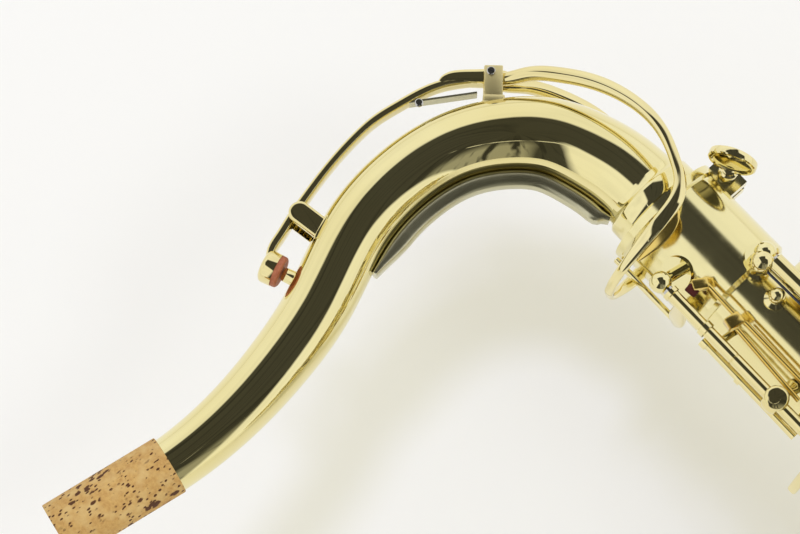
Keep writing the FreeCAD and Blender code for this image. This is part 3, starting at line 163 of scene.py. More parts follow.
def lacquer_group():
    """Handling marks of clear lacquer: slow tone changes, smudges, fine dust and a very low wave."""
    group = bpy.data.node_groups.new("handled lacquer", "ShaderNodeTree")
    for direction, name, kind in (
            ("INPUT", "Tone", "Color"), ("INPUT", "Deep tone", "Color"), ("INPUT", "Smudge", "Float"),
            ("INPUT", "Wave", "Float"), ("OUTPUT", "Colour", "Color"), ("OUTPUT", "Roughness", "Float"),
            ("OUTPUT", "Normal", "Vector")):
        group.interface.new_socket(name=name, in_out=direction, socket_type="NodeSocket" + kind)
    ins = add(group, "NodeGroupInput")
    outs = add(group, "NodeGroupOutput")
    place = object_place(group)
    slow = ramp(group, noise(group, place, scale=28.0, detail=3.0), 0.35, 0.7)
    link(group, mixed(group, slow, ins.outputs["Tone"], ins.outputs["Deep tone"]), outs.inputs["Colour"])
    smudges = ramp(group, noise(group, place, scale=65.0, detail=4.0, roughness=0.6), 0.5, 0.8)
    dust = ramp(group, noise(group, place, scale=2600.0, detail=1.0), 0.74, 0.8)
    marks = value(group, "MAXIMUM", smudges, dust)
    dull = value(group, "MULTIPLY_ADD", marks, ins.outputs["Smudge"], CLEAN_ROUGHNESS)
    link(group, dull, outs.inputs["Roughness"])
    wave = raised(group, noise(group, place, scale=90.0), ins.outputs["Wave"], WAVE_DEPTH)
    link(group, wave, outs.inputs["Normal"])
    return group


LACQUER = lacquer_group()


def shader(name):
    material = bpy.data.materials.new(name)
    material.use_nodes = True
    return material, material.node_tree, material.node_tree.nodes["Principled BSDF"]


def metal(name, tone, deep, smudge=0.05, wave=0.03, coat=0.35, satin=0.0):
    """Polished metal under lacquer. Satin is added to its roughness."""
    material, tree, base = shader(name)
    marks = add(tree, "ShaderNodeGroup", node_tree=LACQUER)
    for entry, setting in (("Tone", tone), ("Deep tone", deep), ("Smudge", smudge), ("Wave", wave)):
        feed(tree, marks.inputs[entry], setting)
    link(tree, marks.outputs["Colour"], base.inputs["Base Color"])
    link(tree, value(tree, "ADD", marks.outputs["Roughness"], satin), base.inputs["Roughness"])
    link(tree, marks.outputs["Normal"], base.inputs["Normal"])
    base.inputs["Metallic"].default_value = 1.0
    base.inputs["Coat Weight"].default_value = coat
    base.inputs["Coat Roughness"].default_value = COAT_ROUGHNESS
    return material


BRASS_TONE, BRASS_DEEP = (0.87, 0.785, 0.42), (0.83, 0.73, 0.35)
BRASS = metal("lacquered brass", BRASS_TONE, BRASS_DEEP)
BODY_BRASS = metal("handled brass", BRASS_TONE, BRASS_DEEP, smudge=0.12, coat=0.3, satin=0.09)
KEY_BRASS = metal("key brass", (0.87, 0.77, 0.41), (0.81, 0.69, 0.32), smudge=0.06)
SATIN_BRASS = metal("satin key brass", (0.86, 0.76, 0.42), (0.80, 0.68, 0.33),
                    smudge=0.06, coat=0.25, satin=0.40)
# Deep orange-gold tone: a painted reflection of brass mirrored in brass in the shade, set as the metal's
# own colour.
GOLD_REFLECTION_BRASS = metal("brass with painted gold reflection", (0.84, 0.62, 0.18), (0.76, 0.54, 0.13),
                   smudge=0.08, coat=0.2, satin=0.16)
NICKEL_BRASS = metal("pale brass", (0.66, 0.63, 0.44), (0.56, 0.53, 0.35),
                     smudge=0.10, coat=0.3, satin=0.24)
STEEL = metal("polished steel", (0.62, 0.61, 0.58), (0.50, 0.49, 0.47), smudge=0.12, wave=0.02, coat=0.0)
SPRING_STEEL = metal("blued spring steel", (0.13, 0.13, 0.15), (0.08, 0.08, 0.09),
                     smudge=0.15, wave=0.02, coat=0.0)


def cork_pits(tree, place, scale, lean, width, gate):
    """Long dark pits that stand in clumps: 1 inside a pit, 0 outside."""
    stretch = add(tree, "ShaderNodeMapping")
    stretch.inputs["Scale"].default_value = (1.0, 1.0, 2.2)
    stretch.inputs["Rotation"].default_value = (0.3, lean, 0.0)
    link(tree, place, stretch.inputs["Vector"])
    cells = add(tree, "ShaderNodeTexVoronoi")
    cells.inputs["Scale"].default_value = scale
    link(tree, stretch.outputs["Vector"], cells.inputs["Vector"])
    ragged = noise(tree, place, scale=scale * 1.7)
    depth = value(tree, "MULTIPLY_ADD", ragged, -0.5, cells.outputs["Distance"])
    hole = ramp(tree, depth, width - 0.22, width - 0.32)
    clump = ramp(tree, noise(tree, place, scale=scale * 0.45, detail=1.0), gate, gate + 0.06)
    return value(tree, "MULTIPLY", hole, clump)


def cork_material():
    """Tan cork with dark, long pits of two sizes and fine grain."""
    material, tree, base = shader("sheet cork")
    place = object_place(tree)
    grain = noise(tree, place, scale=900.0, detail=4.0, roughness=0.65)
    tan = mixed(tree, ramp(tree, grain, 0.32, 0.68), (0.49, 0.27, 0.085), (0.65, 0.41, 0.135))
    patches = ramp(tree, noise(tree, place, scale=260.0), 0.45, 0.72)
    tan = mixed(tree, patches, tan, (0.67, 0.46, 0.185))
    pits = value(tree, "MAXIMUM", cork_pits(tree, place, scale=300.0, lean=0.5, width=0.325, gate=0.50),
                 cork_pits(tree, place, scale=520.0, lean=1.1, width=0.30, gate=0.45))
    link(tree, mixed(tree, pits, tan, (0.10, 0.036, 0.012)), base.inputs["Base Color"])
    base.inputs["Roughness"].default_value = 0.85
    relief = raised(tree, value(tree, "SUBTRACT", grain, pits), strength=0.5, depth=0.0003)
    link(tree, relief, base.inputs["Normal"])
    return material


def fibre_material(name, dark, light, scale, roughness, depth):
    """Leather, felt and other facings: mottled colour with a fine raised grain."""
    material, tree, base = shader(name)
    grain = noise(tree, object_place(tree), scale=scale, detail=4.0, roughness=0.6)
    link(tree, mixed(tree, ramp(tree, grain, 0.3, 0.7), dark, light), base.inputs["Base Color"])
    base.inputs["Roughness"].default_value = roughness
    link(tree, raised(tree, grain, strength=0.4, depth=depth), base.inputs["Normal"])
    return material


CORK = cork_material()
LEATHER = fibre_material("pad leather", (0.36, 0.10, 0.045), (0.50, 0.17, 0.08),
                         scale=900.0, roughness=0.55, depth=0.0002)
RED_FELT = fibre_material("red felt", (0.30, 0.05, 0.03), (0.48, 0.10, 0.06),
                          scale=1500.0, roughness=0.95, depth=0.0003)
DARK_FELT = fibre_material("dark red felt", (0.05, 0.006, 0.006), (0.10, 0.015, 0.012),
                           scale=1500.0, roughness=0.9, depth=0.0003)
BLACK = fibre_material("black moulded rest", (0.010, 0.010, 0.010), (0.020, 0.020, 0.019),
                       scale=300.0, roughness=0.25, depth=0.00005)
PEARL = fibre_material("key pearl", (0.78, 0.76, 0.72), (0.90, 0.89, 0.86),
                       scale=120.0, roughness=0.12, depth=0.00002)


# Making pieces
WELD, CAD_WELD = 1e-6, 2e-6
CAD_SHARP_ANGLE = 30.0


def body_name(node):
    """The body that a CAD node rides on."""
    return body_of(nodes[node])[0]


def finished(name, bm, material, body, sharp):
    """Makes the object of a bmesh, which rides on a body. Edges past the sharp angle stay hard."""
    for face in bm.faces:
        face.smooth = True
    for edge in bm.edges:
        edge.smooth = len(edge.link_faces) == 2 and edge.calc_face_angle(0.0) < math.radians(sharp)
    mesh = bpy.data.meshes.new(name)
    bm.to_mesh(mesh)
    bm.free()
    thing = bpy.data.objects.new(name, mesh)
    bpy.context.scene.collection.objects.link(thing)
    mesh.materials.append(material)
    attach(thing, body)
    return thing


def piece(name, bm, material, body, replaces=(), sharp=35.0):
    """A piece made here, in its own material. It hides the CAD nodes that it replaces."""
    bmesh.ops.remove_doubles(bm, verts=bm.verts, dist=WELD)
    bmesh.ops.recalc_face_normals(bm, faces=bm.faces)
    thing = finished(name, bm, material, body, sharp)
    if replaces:
        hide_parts(*replaces)


def connected(seeds):
    """Every vertex joined to the given ones."""
    found = set(seeds)
    stack = list(seeds)
    while stack:
        for edge in stack.pop().link_edges:
            for vert in edge.verts:
                if vert not in found:
                    found.add(vert)
                    stack.append(vert)
    return found


def shells_of(bm):
    """The separate shells of a mesh, each as its vertices, the widest first."""
    shells = []
    left = set(bm.verts)
    while left:
        shell = connected([next(iter(left))])
        left -= shell
        centre = sum((vert.co for vert in shell), Vector()) / len(shell)
        shells.append((max((vert.co - centre).length for vert in shell), shell))
    shells.sort(key=lambda entry: -entry[0])
    return [shell for reach, shell in shells]


def refined(node, material, extras=()):
    """A clean copy of a CAD node. With extras its shells become pieces: the metal, then each extra."""
    bm = bmesh.new()
    bm.from_mesh(nodes[node].data)
    bmesh.ops.remove_doubles(bm, verts=bm.verts, dist=CAD_WELD)
    bm.verts.index_update()
    shells = shells_of(bm) if extras else [bm.verts]
    made = []
    for (name, finish), shell in zip(((node + "_metal", material), *extras), shells):
        kept = {vert.index for vert in shell}
        part = bm.copy()
        rest = [vert for vert in part.verts if vert.index not in kept]
        bmesh.ops.delete(part, geom=rest, context="VERTS")
        thing = finished(name, part, finish, body_name(node), CAD_SHARP_ANGLE)
        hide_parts(node)
        made.append(thing)
    bm.free()
    return made


def smooth_path(points, count):
    """Evenly spread samples of the natural cubic curve through points of any dimension."""
    knots = np.array([list(point) for point in points], float)
    steps = np.concatenate(([0.0], np.cumsum(np.linalg.norm(np.diff(knots[:, :3], axis=0), axis=1))))
    gaps = np.diff(steps)
    size = len(knots)
    matrix = np.zeros((size, size))
    right = np.zeros_like(knots)
    matrix[0, 0] = matrix[-1, -1] = 1.0
    for i in range(1, size - 1):
        matrix[i, i - 1:i + 2] = gaps[i - 1], 2 * (gaps[i - 1] + gaps[i]), gaps[i]
        right[i] = 6 * ((knots[i + 1] - knots[i]) / gaps[i] - (knots[i] - knots[i - 1]) / gaps[i - 1])
    bend = np.linalg.solve(matrix, right)
    rows = []
    for s in np.linspace(0.0, steps[-1], count):
        i = min(int(np.searchsorted(steps, s, side="right")) - 1, size - 2)
        h, a, b = gaps[i], (steps[i + 1] - s) / gaps[i], (s - steps[i]) / gaps[i]
        rows.append(a * knots[i] + b * knots[i + 1]
                    + ((a ** 3 - a) * bend[i] + (b ** 3 - b) * bend[i + 1]) * h * h / 6)
    return np.array(rows)


def directions(centres):
    """The unit direction of a path at each of its samples."""
    return [Vector(way).normalized() for way in np.gradient(centres, axis=0)]


def sweep(bm, rows, across, sides=24, square=2.0, caps=True):
    """A bar through rows of (x, y, z, half width, half thickness).

    `across` gives the width's direction. A `square` of 2 makes an oval section, more a boxy one.
    """
    previous = first = None
    for index, (row, way) in enumerate(zip(rows, directions(rows[:, :3]))):
        wide = across(index, way) if callable(across) else across
        wide = (wide - way * wide.dot(way)).normalized()
        thick = way.cross(wide)
        ring = bmesh.ops.create_circle(bm, segments=sides, radius=1.0)["verts"]
        for vert in ring:
            angle = math.atan2(vert.co.y, vert.co.x)
            reach = (abs(math.cos(angle)) ** square + abs(math.sin(angle)) ** square) ** (-1 / square)
            vert.co = (Vector(row[:3]) + wide * (math.cos(angle) * reach * row[3])
                       + thick * (math.sin(angle) * reach * row[4]))
        edges = list({edge for vert in ring for edge in vert.link_edges})
        if previous is None:
            first = edges
        else:
            bmesh.ops.bridge_loops(bm, edges=previous + edges)
        previous = edges
    if caps:
        bmesh.ops.contextual_create(bm, geom=first)
        bmesh.ops.contextual_create(bm, geom=previous)


def in_plane(index, way):
    """The width's direction of a bar that stands in the neck's plane."""
    return way.cross(AXIS_Y)


def rows_of(rows):
    """Rows of (x, y, z, half width, half thickness), millimetres from the receiver's rim, as metres."""
    return [(*at(x, y, z), wide * MM, thick * MM) for x, y, z, wide, thick in rows]


def toward(origin, direction):
    """The placement whose Z looks along a direction."""
    return Matrix.Translation(origin) @ direction.to_track_quat("Z", "Y").to_matrix().to_4x4()


def upright_place(x, y, z, up_x, up_z):
    """A placement whose Z is a direction in the neck's plane and whose Y is the saxophone's Y."""
    up = Vector((up_x, 0, up_z)).normalized()
    place = Matrix((AXIS_Y.cross(up), AXIS_Y, up)).transposed().to_4x4()
    place.translation = at(x, y, z)
    return place


def turned(outline, place, segments=64, bm=None):
    """A solid turned about its own Z from (radius, height) pairs in millimetres."""
    bm = bm or bmesh.new()
    verts = [bm.verts.new((radius * MM, 0, height * MM)) for radius, height in outline]
    edges = [bm.edges.new(pair) for pair in zip(verts, verts[1:])]
    if outline[0][0] > 0 or outline[-1][0] > 0:
        edges.append(bm.edges.new((verts[-1], verts[0])))
    made = bmesh.ops.spin(bm, geom=verts + edges, cent=(0, 0, 0), axis=(0, 0, 1), angle=math.tau,
                          steps=segments, use_merge=True)
    ends = {item for item in made["geom_last"] if isinstance(item, bmesh.types.BMVert)}
    bmesh.ops.transform(bm, matrix=place, verts=list(connected(ends | set(verts))))
    return bm


def bar(bm, one, two, radius):
    """A round bar between two places."""
    start, end = at(*one), at(*two)
    length = (end - start).length / MM
    turned([(0.0, 0.0), (radius, 0.0), (radius, length), (0.0, length)],
           toward(start, end - start), segments=24, bm=bm)


def block(bm, size, place, soft):
    """A block with rounded edges, its size and rounding in millimetres."""
    made = bmesh.ops.create_cube(bm, size=1.0)["verts"]
    bmesh.ops.scale(bm, vec=Vector(size) * MM, verts=made)
    edges = list({edge for vert in made for edge in vert.link_edges})
    loose = bmesh.ops.bevel(bm, geom=edges, offset=soft * MM, offset_type="OFFSET", segments=2,
                            profile=0.5, affect="EDGES", material=-1)["verts"]
    bmesh.ops.transform(bm, matrix=place, verts=list(connected(loose)))


# True normals of the large tubes
BELL_SHARES = (
    (0.0, 0.0), (0.2, 0.10), (0.4, 0.20), (0.55, 0.29), (0.7, 0.41), (0.82, 0.56), (0.92, 0.77), (1.0, 1.0),
)
bell_rows = smooth_path([(height * BELL_HEIGHT, BELL_FOOT_RADIUS + BELL_FLARE * share, 0.0)
                         for height, share in BELL_SHARES], count=160)
bell_slopes = np.gradient(bell_rows[:, 1], bell_rows[:, 0])
NEARLY_ALONG = 0.93


def body_rule(place):
    way = Vector((place.x - TUBE_X * MM, place.y, 0)).normalized()
    return (way + AXIS_Z * ((BODY_FOOT_RADIUS - BODY_TOP_RADIUS) / BODY_LENGTH)).normalized()


def bow_rule(place):
    middle = Vector((TUBE_X + BOW_RADIUS, 0, BOW_Z)) * MM
    spoke = Vector((place.x - middle.x, 0, place.z - middle.z)).normalized()
    centre = middle + spoke * BOW_RADIUS * MM
    slope = BOW_WIDENING / (math.pi * BOW_RADIUS)
    return ((place - centre).normalized() + spoke.cross(AXIS_Y) * slope).normalized()


def bell_rule(place):
    way = Vector((place.x - BELL_X * MM, place.y, 0)).normalized()
    slope = float(np.interp(place.z / MM - BOW_Z, bell_rows[:, 0], bell_slopes))
    return (way - AXIS_Z * slope).normalized()


def shade_by(thing, rule):
    """Gives a curved wall the normals of its true surface, and leaves hole walls and rims as they are."""
    mesh = thing.data
    normals = []
    for face in mesh.polygons:
        for corner in face.vertices:
            true = rule(mesh.vertices[corner].co)
            lean = true.dot(face.normal)
            wall = abs(lean) > NEARLY_ALONG
            normals.append(true * math.copysign(1.0, lean) if wall else face.normal)
    mesh.normals_split_custom_set(normals)


# Nodes that keep their CAD shape, the keys with their pads and pearls first
KEYS = [name for name in nodes if name.endswith("_key") and name != "octave_key"]
for name in KEYS:
    refined(name, KEY_BRASS, ((name + "_pad", LEATHER), (name + "_pearl", PEARL)))
PLAIN = {
    "body_tube": BODY_BRASS, "bow": BRASS, "bell": BRASS, "tone_hole_chimneys": BRASS,
    "bell_chimneys": BRASS, "body_bow_band": BRASS, "bow_bell_band": BRASS, "neck_receiver": BODY_BRASS,
    "neck_tenon": BRASS, "octave_spring": NICKEL_BRASS, "octave_thumb_lever": KEY_BRASS,
    "thumb_rest": BLACK, "key_posts": BRASS, "hinge_rods": STEEL, "needle_springs": SPRING_STEEL,
    "strap_ring": BRASS, "thumb_hook_plate": BRASS, "thumb_hook": BRASS, "bell_brace": BRASS,
    "bell_key_guards": BRASS, "guard_felts": RED_FELT,
}
RULES = {"body_tube": body_rule, "bow": bow_rule, "bell": bell_rule}
for name, material in PLAIN.items():
    for thing in refined(name, material):
        if name in RULES:
            shade_by(thing, RULES[name])


# Neck tube, drawn finely along its centre line. Shares of (reach, rise, widening) from the receiver.
NECK_SHARES = (
    (0.0, 0.0, 1.0), (-0.001, 0.16, 0.985), (-0.0055, 0.31, 0.955), (-0.0175, 0.46, 0.905),
    (-0.044, 0.653, 0.80), (-0.090, 0.810, 0.70), (-0.165, 0.949, 0.60), (-0.261, 1.0, 0.55),
    (-0.357, 0.960, 0.52), (-0.490, 0.784, 0.47), (-0.577, 0.704, 0.38), (-0.680, 0.652, 0.25),
    (-0.820, 0.660, 0.11), (-0.910, 0.713, 0.05), (-1.0, 0.766, 0.0),
)
neck_knots = [(*at(reach * NECK_REACH, 0, rise * NECK_RISE), (NECK_END_RADIUS + NECK_WIDENING * share) * MM,
               index) for index, (reach, rise, share) in enumerate(NECK_SHARES)]
neck_rows = smooth_path(neck_knots, count=220)
neck_ways = directions(neck_rows[:, :3])


def neck_spot(index):
    """Centre, direction and radius at a place counted along the centre line's points."""
    nearest = int(np.argmin(np.abs(neck_rows[:, 4] - index)))
    return Vector(neck_rows[nearest][:3]), neck_ways[nearest], neck_rows[nearest][3]


def neck_piece():
    """The outer and the inner skin, joined at both ends."""
    bm = bmesh.new()
    start, near_start = Vector(neck_rows[0][:3]), 30.0 * MM
    ends = []
    for inset in (0.0, NECK_WALL * MM):
        rows = neck_rows.copy()
        rows[:, 3] -= inset
        rows[:, 4] = rows[:, 3]
        before = set(bm.edges)
        sweep(bm, rows, AXIS_Y, sides=96, caps=False)
        rims = [edge for edge in bm.edges if edge not in before and len(edge.link_faces) == 1]
        near = [edge for edge in rims if (edge.verts[0].co - start).length < near_start]
        ends.append((near, [edge for edge in rims if edge not in near]))
    for outer, inner in zip(*ends):
        bmesh.ops.bridge_loops(bm, edges=outer + inner)
    piece("neck_tube_fine", bm, BRASS, "neck", ("neck_tube",), sharp=50.0)


def cork_piece():
    along = neck_ways[-1]
    base = Vector(neck_rows[-1][:3]) - along * CORK_LENGTH * MM
    outline = (
        (CORK_BORE, 0.0), (CORK_RADIUS - CORK_EDGE, 0.0), (CORK_RADIUS, CORK_EDGE),
        (CORK_RADIUS, CORK_LENGTH - CORK_EDGE), (CORK_RADIUS - CORK_EDGE, CORK_LENGTH),
        (CORK_END_BORE, CORK_LENGTH),
    )
    piece("cork_sleeve_fine", turned(outline, toward(base, along), segments=96), CORK, "neck",
          ("neck_cork",), sharp=60.0)


COLLAR_OUTLINE = (
    (11.6, 0.1), (13.9, 0.1), (14.1, 0.4), (14.1, 5.2), (13.8, 5.8), (13.1, 6.3), (12.7, 7.0), (12.4, 8.5),
    (11.6, 8.5),
)
neck_piece()
cork_piece()
piece("neck_collar_fine", turned(COLLAR_OUTLINE, Matrix.Translation(at(0, 0, 0)), segments=96), BRASS,
      "neck", ("neck_collar",))

# Brace rib under the bend. Its start and span count along the neck's points.
BRACE_START, BRACE_SPAN, BRACE_SAMPLES, BRACE_TAPER = 0.95, 7.5, 48, 4.0
BRACE_DEPTH, BRACE_END_DEPTH, BRACE_HALF_WIDTH, BRACE_GAP, BRACE_SWELL = 4.6, 1.2, 2.5, 0.2, 0.3


def brace_piece():
    rows = []
    last = BRACE_SAMPLES - 1
    for count in range(BRACE_SAMPLES):
        centre, way, radius = neck_spot(BRACE_START + BRACE_SPAN * count / last)
        end = min(count, last - count, BRACE_TAPER) / BRACE_TAPER
        depth = (BRACE_END_DEPTH + (BRACE_DEPTH - BRACE_END_DEPTH) * math.sin(end * math.pi / 2)) * MM
        middle = centre + way.cross(AXIS_Y) * (radius + depth / 2 + BRACE_GAP * MM)
        rows.append((*middle, depth / 2 + BRACE_SWELL * MM, BRACE_HALF_WIDTH * MM))
    bm = bmesh.new()
    sweep(bm, np.array(rows), in_plane, sides=32, square=2.7)
    piece("neck_brace_rib_fine", bm, NICKEL_BRASS, "neck", ("neck_brace",))


brace_piece()

# Saddle with its slotted screw. Blocks are (size, place, rounding).
SADDLE_UP = (0.68, 0.73)
SADDLE_BLOCKS = (
    ((5.3, 1.9, 11.2), (-10.9, -4.4, 58.1), 0.35),
    ((5.3, 1.9, 11.2), (-10.9, 4.4, 58.1), 0.35),
    ((7.2, 11.6, 1.6), (-14.9, 0, 53.6), 0.5),
    ((6.2, 11.0, 2.6), (-13.9, 0, 54.7), 0.5),
)
PIVOT_X, PIVOT_Z, PIVOT_HEAD_Y, PIVOT_SLOT_Y = -8.9, 61.3, 5.2, -5.9
PIVOT_OUTLINE = ((0.0, -6.0), (1.0, -6.0), (1.0, 0.1), (1.25, 0.2), (1.25, 0.45), (1.0, 0.7), (0.0, 0.75))
SLOT_SIZE, SLOT_UP = (1.9, 0.2, 0.4), (0.9, 0.44)


def saddle_piece():
    bm = bmesh.new()
    for size, place, soft in SADDLE_BLOCKS:
        block(bm, size, upright_place(*place, *SADDLE_UP), soft)
    piece("octave_saddle_fine", bm, SATIN_BRASS, "neck", ("octave_saddle",))


def pivot_pieces():
    screw = bmesh.new()
    for side in (-1, 1):
        turned(PIVOT_OUTLINE, toward(at(PIVOT_X, side * PIVOT_HEAD_Y, PIVOT_Z), AXIS_Y * side),
               segments=40, bm=screw)
    piece("octave_pivot_screw_fine", screw, STEEL, "neck", ("octave_pivot_screw",))
    # Painted shade: a thin black block on the head stands for the slot's shaded groove, which is not cut.
    slot = bmesh.new()
    block(slot, SLOT_SIZE, upright_place(PIVOT_X, PIVOT_SLOT_Y, PIVOT_Z, *SLOT_UP), soft=0.05)
    piece("screw_slot_painted_shade", slot, BLACK, "neck")


SPRING_SCREW_OUTLINE = ((0.0, 0.0), (1.15, 0.0), (1.3, 0.2), (1.2, 0.7), (0.9, 0.95), (0.0, 1.0))
SPRING_SCREW_PLACE = (-29.8, -2.4, 68.5)
saddle_piece()
pivot_pieces()
spring_screw = turned(SPRING_SCREW_OUTLINE, toward(at(*SPRING_SCREW_PLACE), -AXIS_Y), segments=32)
piece("spring_screw_fine", spring_screw, STEEL, body_name("octave_spring"))

# Guide: two round-topped cheeks on a foot
CHEEK_RADIUS, CHEEK_DROP, CHEEK_THICKNESS, CHEEK_ROUNDING = 3.2, 7.4, 1.7, 0.9
CHEEK_X, CHEEK_Y, CHEEK_Z = -76.6, 3.7, 66.0
CHEEK_UP = Vector((-0.17, 0, 0.985)).normalized()
GUIDE_FOOT_UP = (-0.36, 0.93)
GUIDE_FOOT_BLOCKS = (
    ((7.8, 11.4, 1.3), (-75.1, 0, 58.6), 0.5),
    ((6.2, 9.6, 1.6), (-75.4, 0, 59.4), 0.6),
)
BELOW_MIDDLE = -0.0001


def guide_cheek(bm, side):
    ring = bmesh.ops.create_circle(bm, cap_ends=True, segments=40, radius=CHEEK_RADIUS * MM)["verts"]
    for vert in ring:
        if vert.co.y < BELOW_MIDDLE * MM:
            vert.co.y -= CHEEK_DROP * MM
    made = bmesh.ops.extrude_face_region(bm, geom=[ring[0].link_faces[0]])["geom"]
    front = [item for item in made if isinstance(item, bmesh.types.BMVert)]
    bmesh.ops.translate(bm, vec=(0, 0, CHEEK_THICKNESS * MM), verts=front)
    face = next(item for item in made if isinstance(item, bmesh.types.BMFace))
    bmesh.ops.bevel(bm, geom=list(face.edges), offset=CHEEK_ROUNDING * MM, offset_type="OFFSET",
                    segments=4, profile=0.5, affect="EDGES", material=-1)
    out = AXIS_Y * side
    place = Matrix((CHEEK_UP.cross(out), CHEEK_UP, out)).transposed().to_4x4()
    place.translation = at(CHEEK_X, side * CHEEK_Y, CHEEK_Z)
    bmesh.ops.transform(bm, matrix=place, verts=list(connected(ring)))


def guide_piece():
    bm = bmesh.new()
    for side in (-1, 1):
        guide_cheek(bm, side)
    for size, place, soft in GUIDE_FOOT_BLOCKS:
        block(bm, size, upright_place(*place, *GUIDE_FOOT_UP), soft)
    piece("octave_guide_fine", bm, KEY_BRASS, "neck", ("octave_guide",))


guide_piece()

# Octave vent, its pad and the cup over them
VENT_INDEX, VENT_SHIFT = 8.83, Vector((1.2, 0, -0.9)) * MM
VENT_SINK, PAD_HEIGHT, CUP_HEIGHT = 0.8, 4.7, 1.6
VENT_OUTLINE = ((0.9, 0.0), (2.3, 0.0), (2.2, 1.6), (2.05, 4.6), (1.7, 5.2), (0.9, 5.25))
PAD_OUTLINE = ((0.0, 0.0), (4.0, 0.0), (4.45, 0.35), (4.6, 0.9), (4.5, 2.2), (4.3, 2.8), (0.0, 2.9))
CUP_OUTLINE = (
    (0.0, 1.25), (4.35, 1.25), (4.5, 0.2), (4.75, 0.15), (4.8, 2.9), (4.6, 3.6), (3.9, 4.2), (2.4, 4.5),
    (0.0, 4.6),
)
vent_centre, vent_along, vent_radius = neck_spot(VENT_INDEX)
vent_centre += VENT_SHIFT
vent_out = AXIS_Y.cross(vent_along).normalized()
vent_foot = vent_centre + vent_out * (vent_radius - VENT_SINK * MM)
pad_foot = vent_centre + vent_out * (vent_radius + PAD_HEIGHT * MM)
piece("octave_vent_nipple_fine", turned(VENT_OUTLINE, toward(vent_foot, vent_out), segments=48), BRASS,
      "neck", ("octave_vent_nipple",))
piece("octave_pad_fine", turned(PAD_OUTLINE, toward(pad_foot, vent_out), segments=48), LEATHER,
      "octave_key", ("octave_pad",))

# Octave key. Each row is (x, y, z, half width, half thickness).
KEY_STRIP = (
    (-91.6, 0, 62.2, 2.4, 1.0), (-88.9, 0, 64.0, 2.6, 1.3), (-84.6, 0, 65.4, 2.7, 1.4),
    (-79.9, 0, 66.9, 2.7, 1.4), (-72.3, 0, 69.0, 2.7, 1.35), (-66.6, 0, 70.4, 2.7, 1.3),
    (-56.1, 0, 72.4, 2.7, 1.3), (-49.1, 0, 73.2, 2.7, 1.3), (-42.5, 0, 73.4, 2.7, 1.3),
    (-34.0, 0, 72.2, 2.7, 1.3), (-20.8, 0, 68.6, 2.7, 1.3), (-13.5, 0, 63.8, 2.6, 1.1),
    (-8.9, 0, 60.4, 2.5, 1.0),
)
KEY_BOSS = (
    (-22.2, 0, 68.7, 2.2, 0.3), (-20.6, 0, 69.2, 2.75, 1.0), (-18.6, 0, 68.9, 2.9, 1.5),
    (-15.8, 0, 67.1, 2.9, 1.9), (-12.2, 0, 63.9, 2.9, 2.1), (-8.9, 0, 60.9, 2.9, 2.2),
    (-6.4, 0, 58.4, 2.8, 1.9), (-4.4, 0, 56.4, 2.6, 1.2),
)
KEY_ARM = (
    (-9.6, -2.0, 60.8, 1.5, 1.3), (-6.9, -2.6, 57.7, 1.9, 1.6), (-1.5, -5.0, 53.6, 2.1, 1.8),
    (3.9, -8.0, 46.8, 2.2, 1.9), (7.1, -10.2, 41.2, 2.2, 1.9), (9.3, -12.0, 36.0, 2.15, 1.9),
    (10.9, -14.0, 29.8, 2.0, 1.85), (11.6, -16.0, 22.9, 1.85, 1.8), (11.2, -17.5, 17.0, 1.75, 1.7),
    (9.5, -18.6, 10.6, 1.6, 1.5), (6.8, -19.7, 4.8, 1.55, 1.3), (3.7, -20.6, -0.2, 1.7, 1.15),
    (-0.4, -21.4, -3.5, 2.0, 1.0), (-6.8, -21.4, -5.3, 2.1, 0.95), (-15.3, -18.9, -6.4, 1.9, 0.9),
    (-21.4, -14.3, -6.9, 1.5, 0.9), (-25.9, -7.3, -7.2, 1.4, 0.9), (-27.2, 0.0, -7.3, 1.4, 1.0),
)
BAND_LIP = (
    (-2.0, -21.0, -4.8, 0.3, 0.3), (-4.8, -21.2, -7.0, 1.4, 0.4), (-8.4, -20.7, -8.3, 1.9, 0.45),
    (-12.4, -19.6, -8.9, 1.8, 0.45), (-16.4, -17.8, -9.0, 1.1, 0.4), (-19.6, -15.9, -8.9, 0.3, 0.3),
)
TURN_START_Z, TURN_LENGTH = 4.0, 8.0


def key_arms(bm):
    """The near arm with half of the band, and its copy on the other side."""
    rows = smooth_path(rows_of(KEY_ARM), count=130)
    turn_start = at(0, 0, TURN_START_Z).z

    def turn_over(index, way):
        """The arm stands on edge and lies flat where it becomes the band."""
        share = min(max((turn_start - rows[index][2]) / (TURN_LENGTH * MM), 0.0), 1.0)
        share = share * share * (3 - 2 * share)
        return in_plane(index, way).normalized() * (1 - share) - AXIS_Z * share

    before = set(bm.verts)
    sweep(bm, rows, turn_over, sides=32, square=2.4)
    verts = [vert for vert in bm.verts if vert not in before]
    edges = {edge for vert in verts for edge in vert.link_edges}
    faces = {face for vert in verts for face in vert.link_faces}
    copy = bmesh.ops.duplicate(bm, geom=[*verts, *edges, *faces])["geom"]
    copied = [item for item in copy if isinstance(item, bmesh.types.BMVert)]
    bmesh.ops.scale(bm, vec=(1, -1, 1), verts=copied)


def octave_key_pieces():
    bm = bmesh.new()
    sweep(bm, smooth_path(rows_of(KEY_STRIP), count=90), AXIS_Y, sides=32, square=4.0)
    sweep(bm, smooth_path(rows_of(KEY_BOSS), count=40), AXIS_Y, sides=32, square=6.0)
    key_arms(bm)
    turned(CUP_OUTLINE, toward(pad_foot + vent_out * CUP_HEIGHT * MM, vent_out), segments=48, bm=bm)
    piece("octave_key_fine", bm, KEY_BRASS, "octave_key", ("octave_key",), sharp=40.0)
    # The band's inner lip takes the painted gold reflection tone.
    lip = bmesh.new()
    sweep(lip, smooth_path(rows_of(BAND_LIP), count=40), -AXIS_Z, sides=24, square=3.0)
    piece("octave_band_lip_fine", lip, GOLD_REFLECTION_BRASS, "octave_key")


octave_key_pieces()

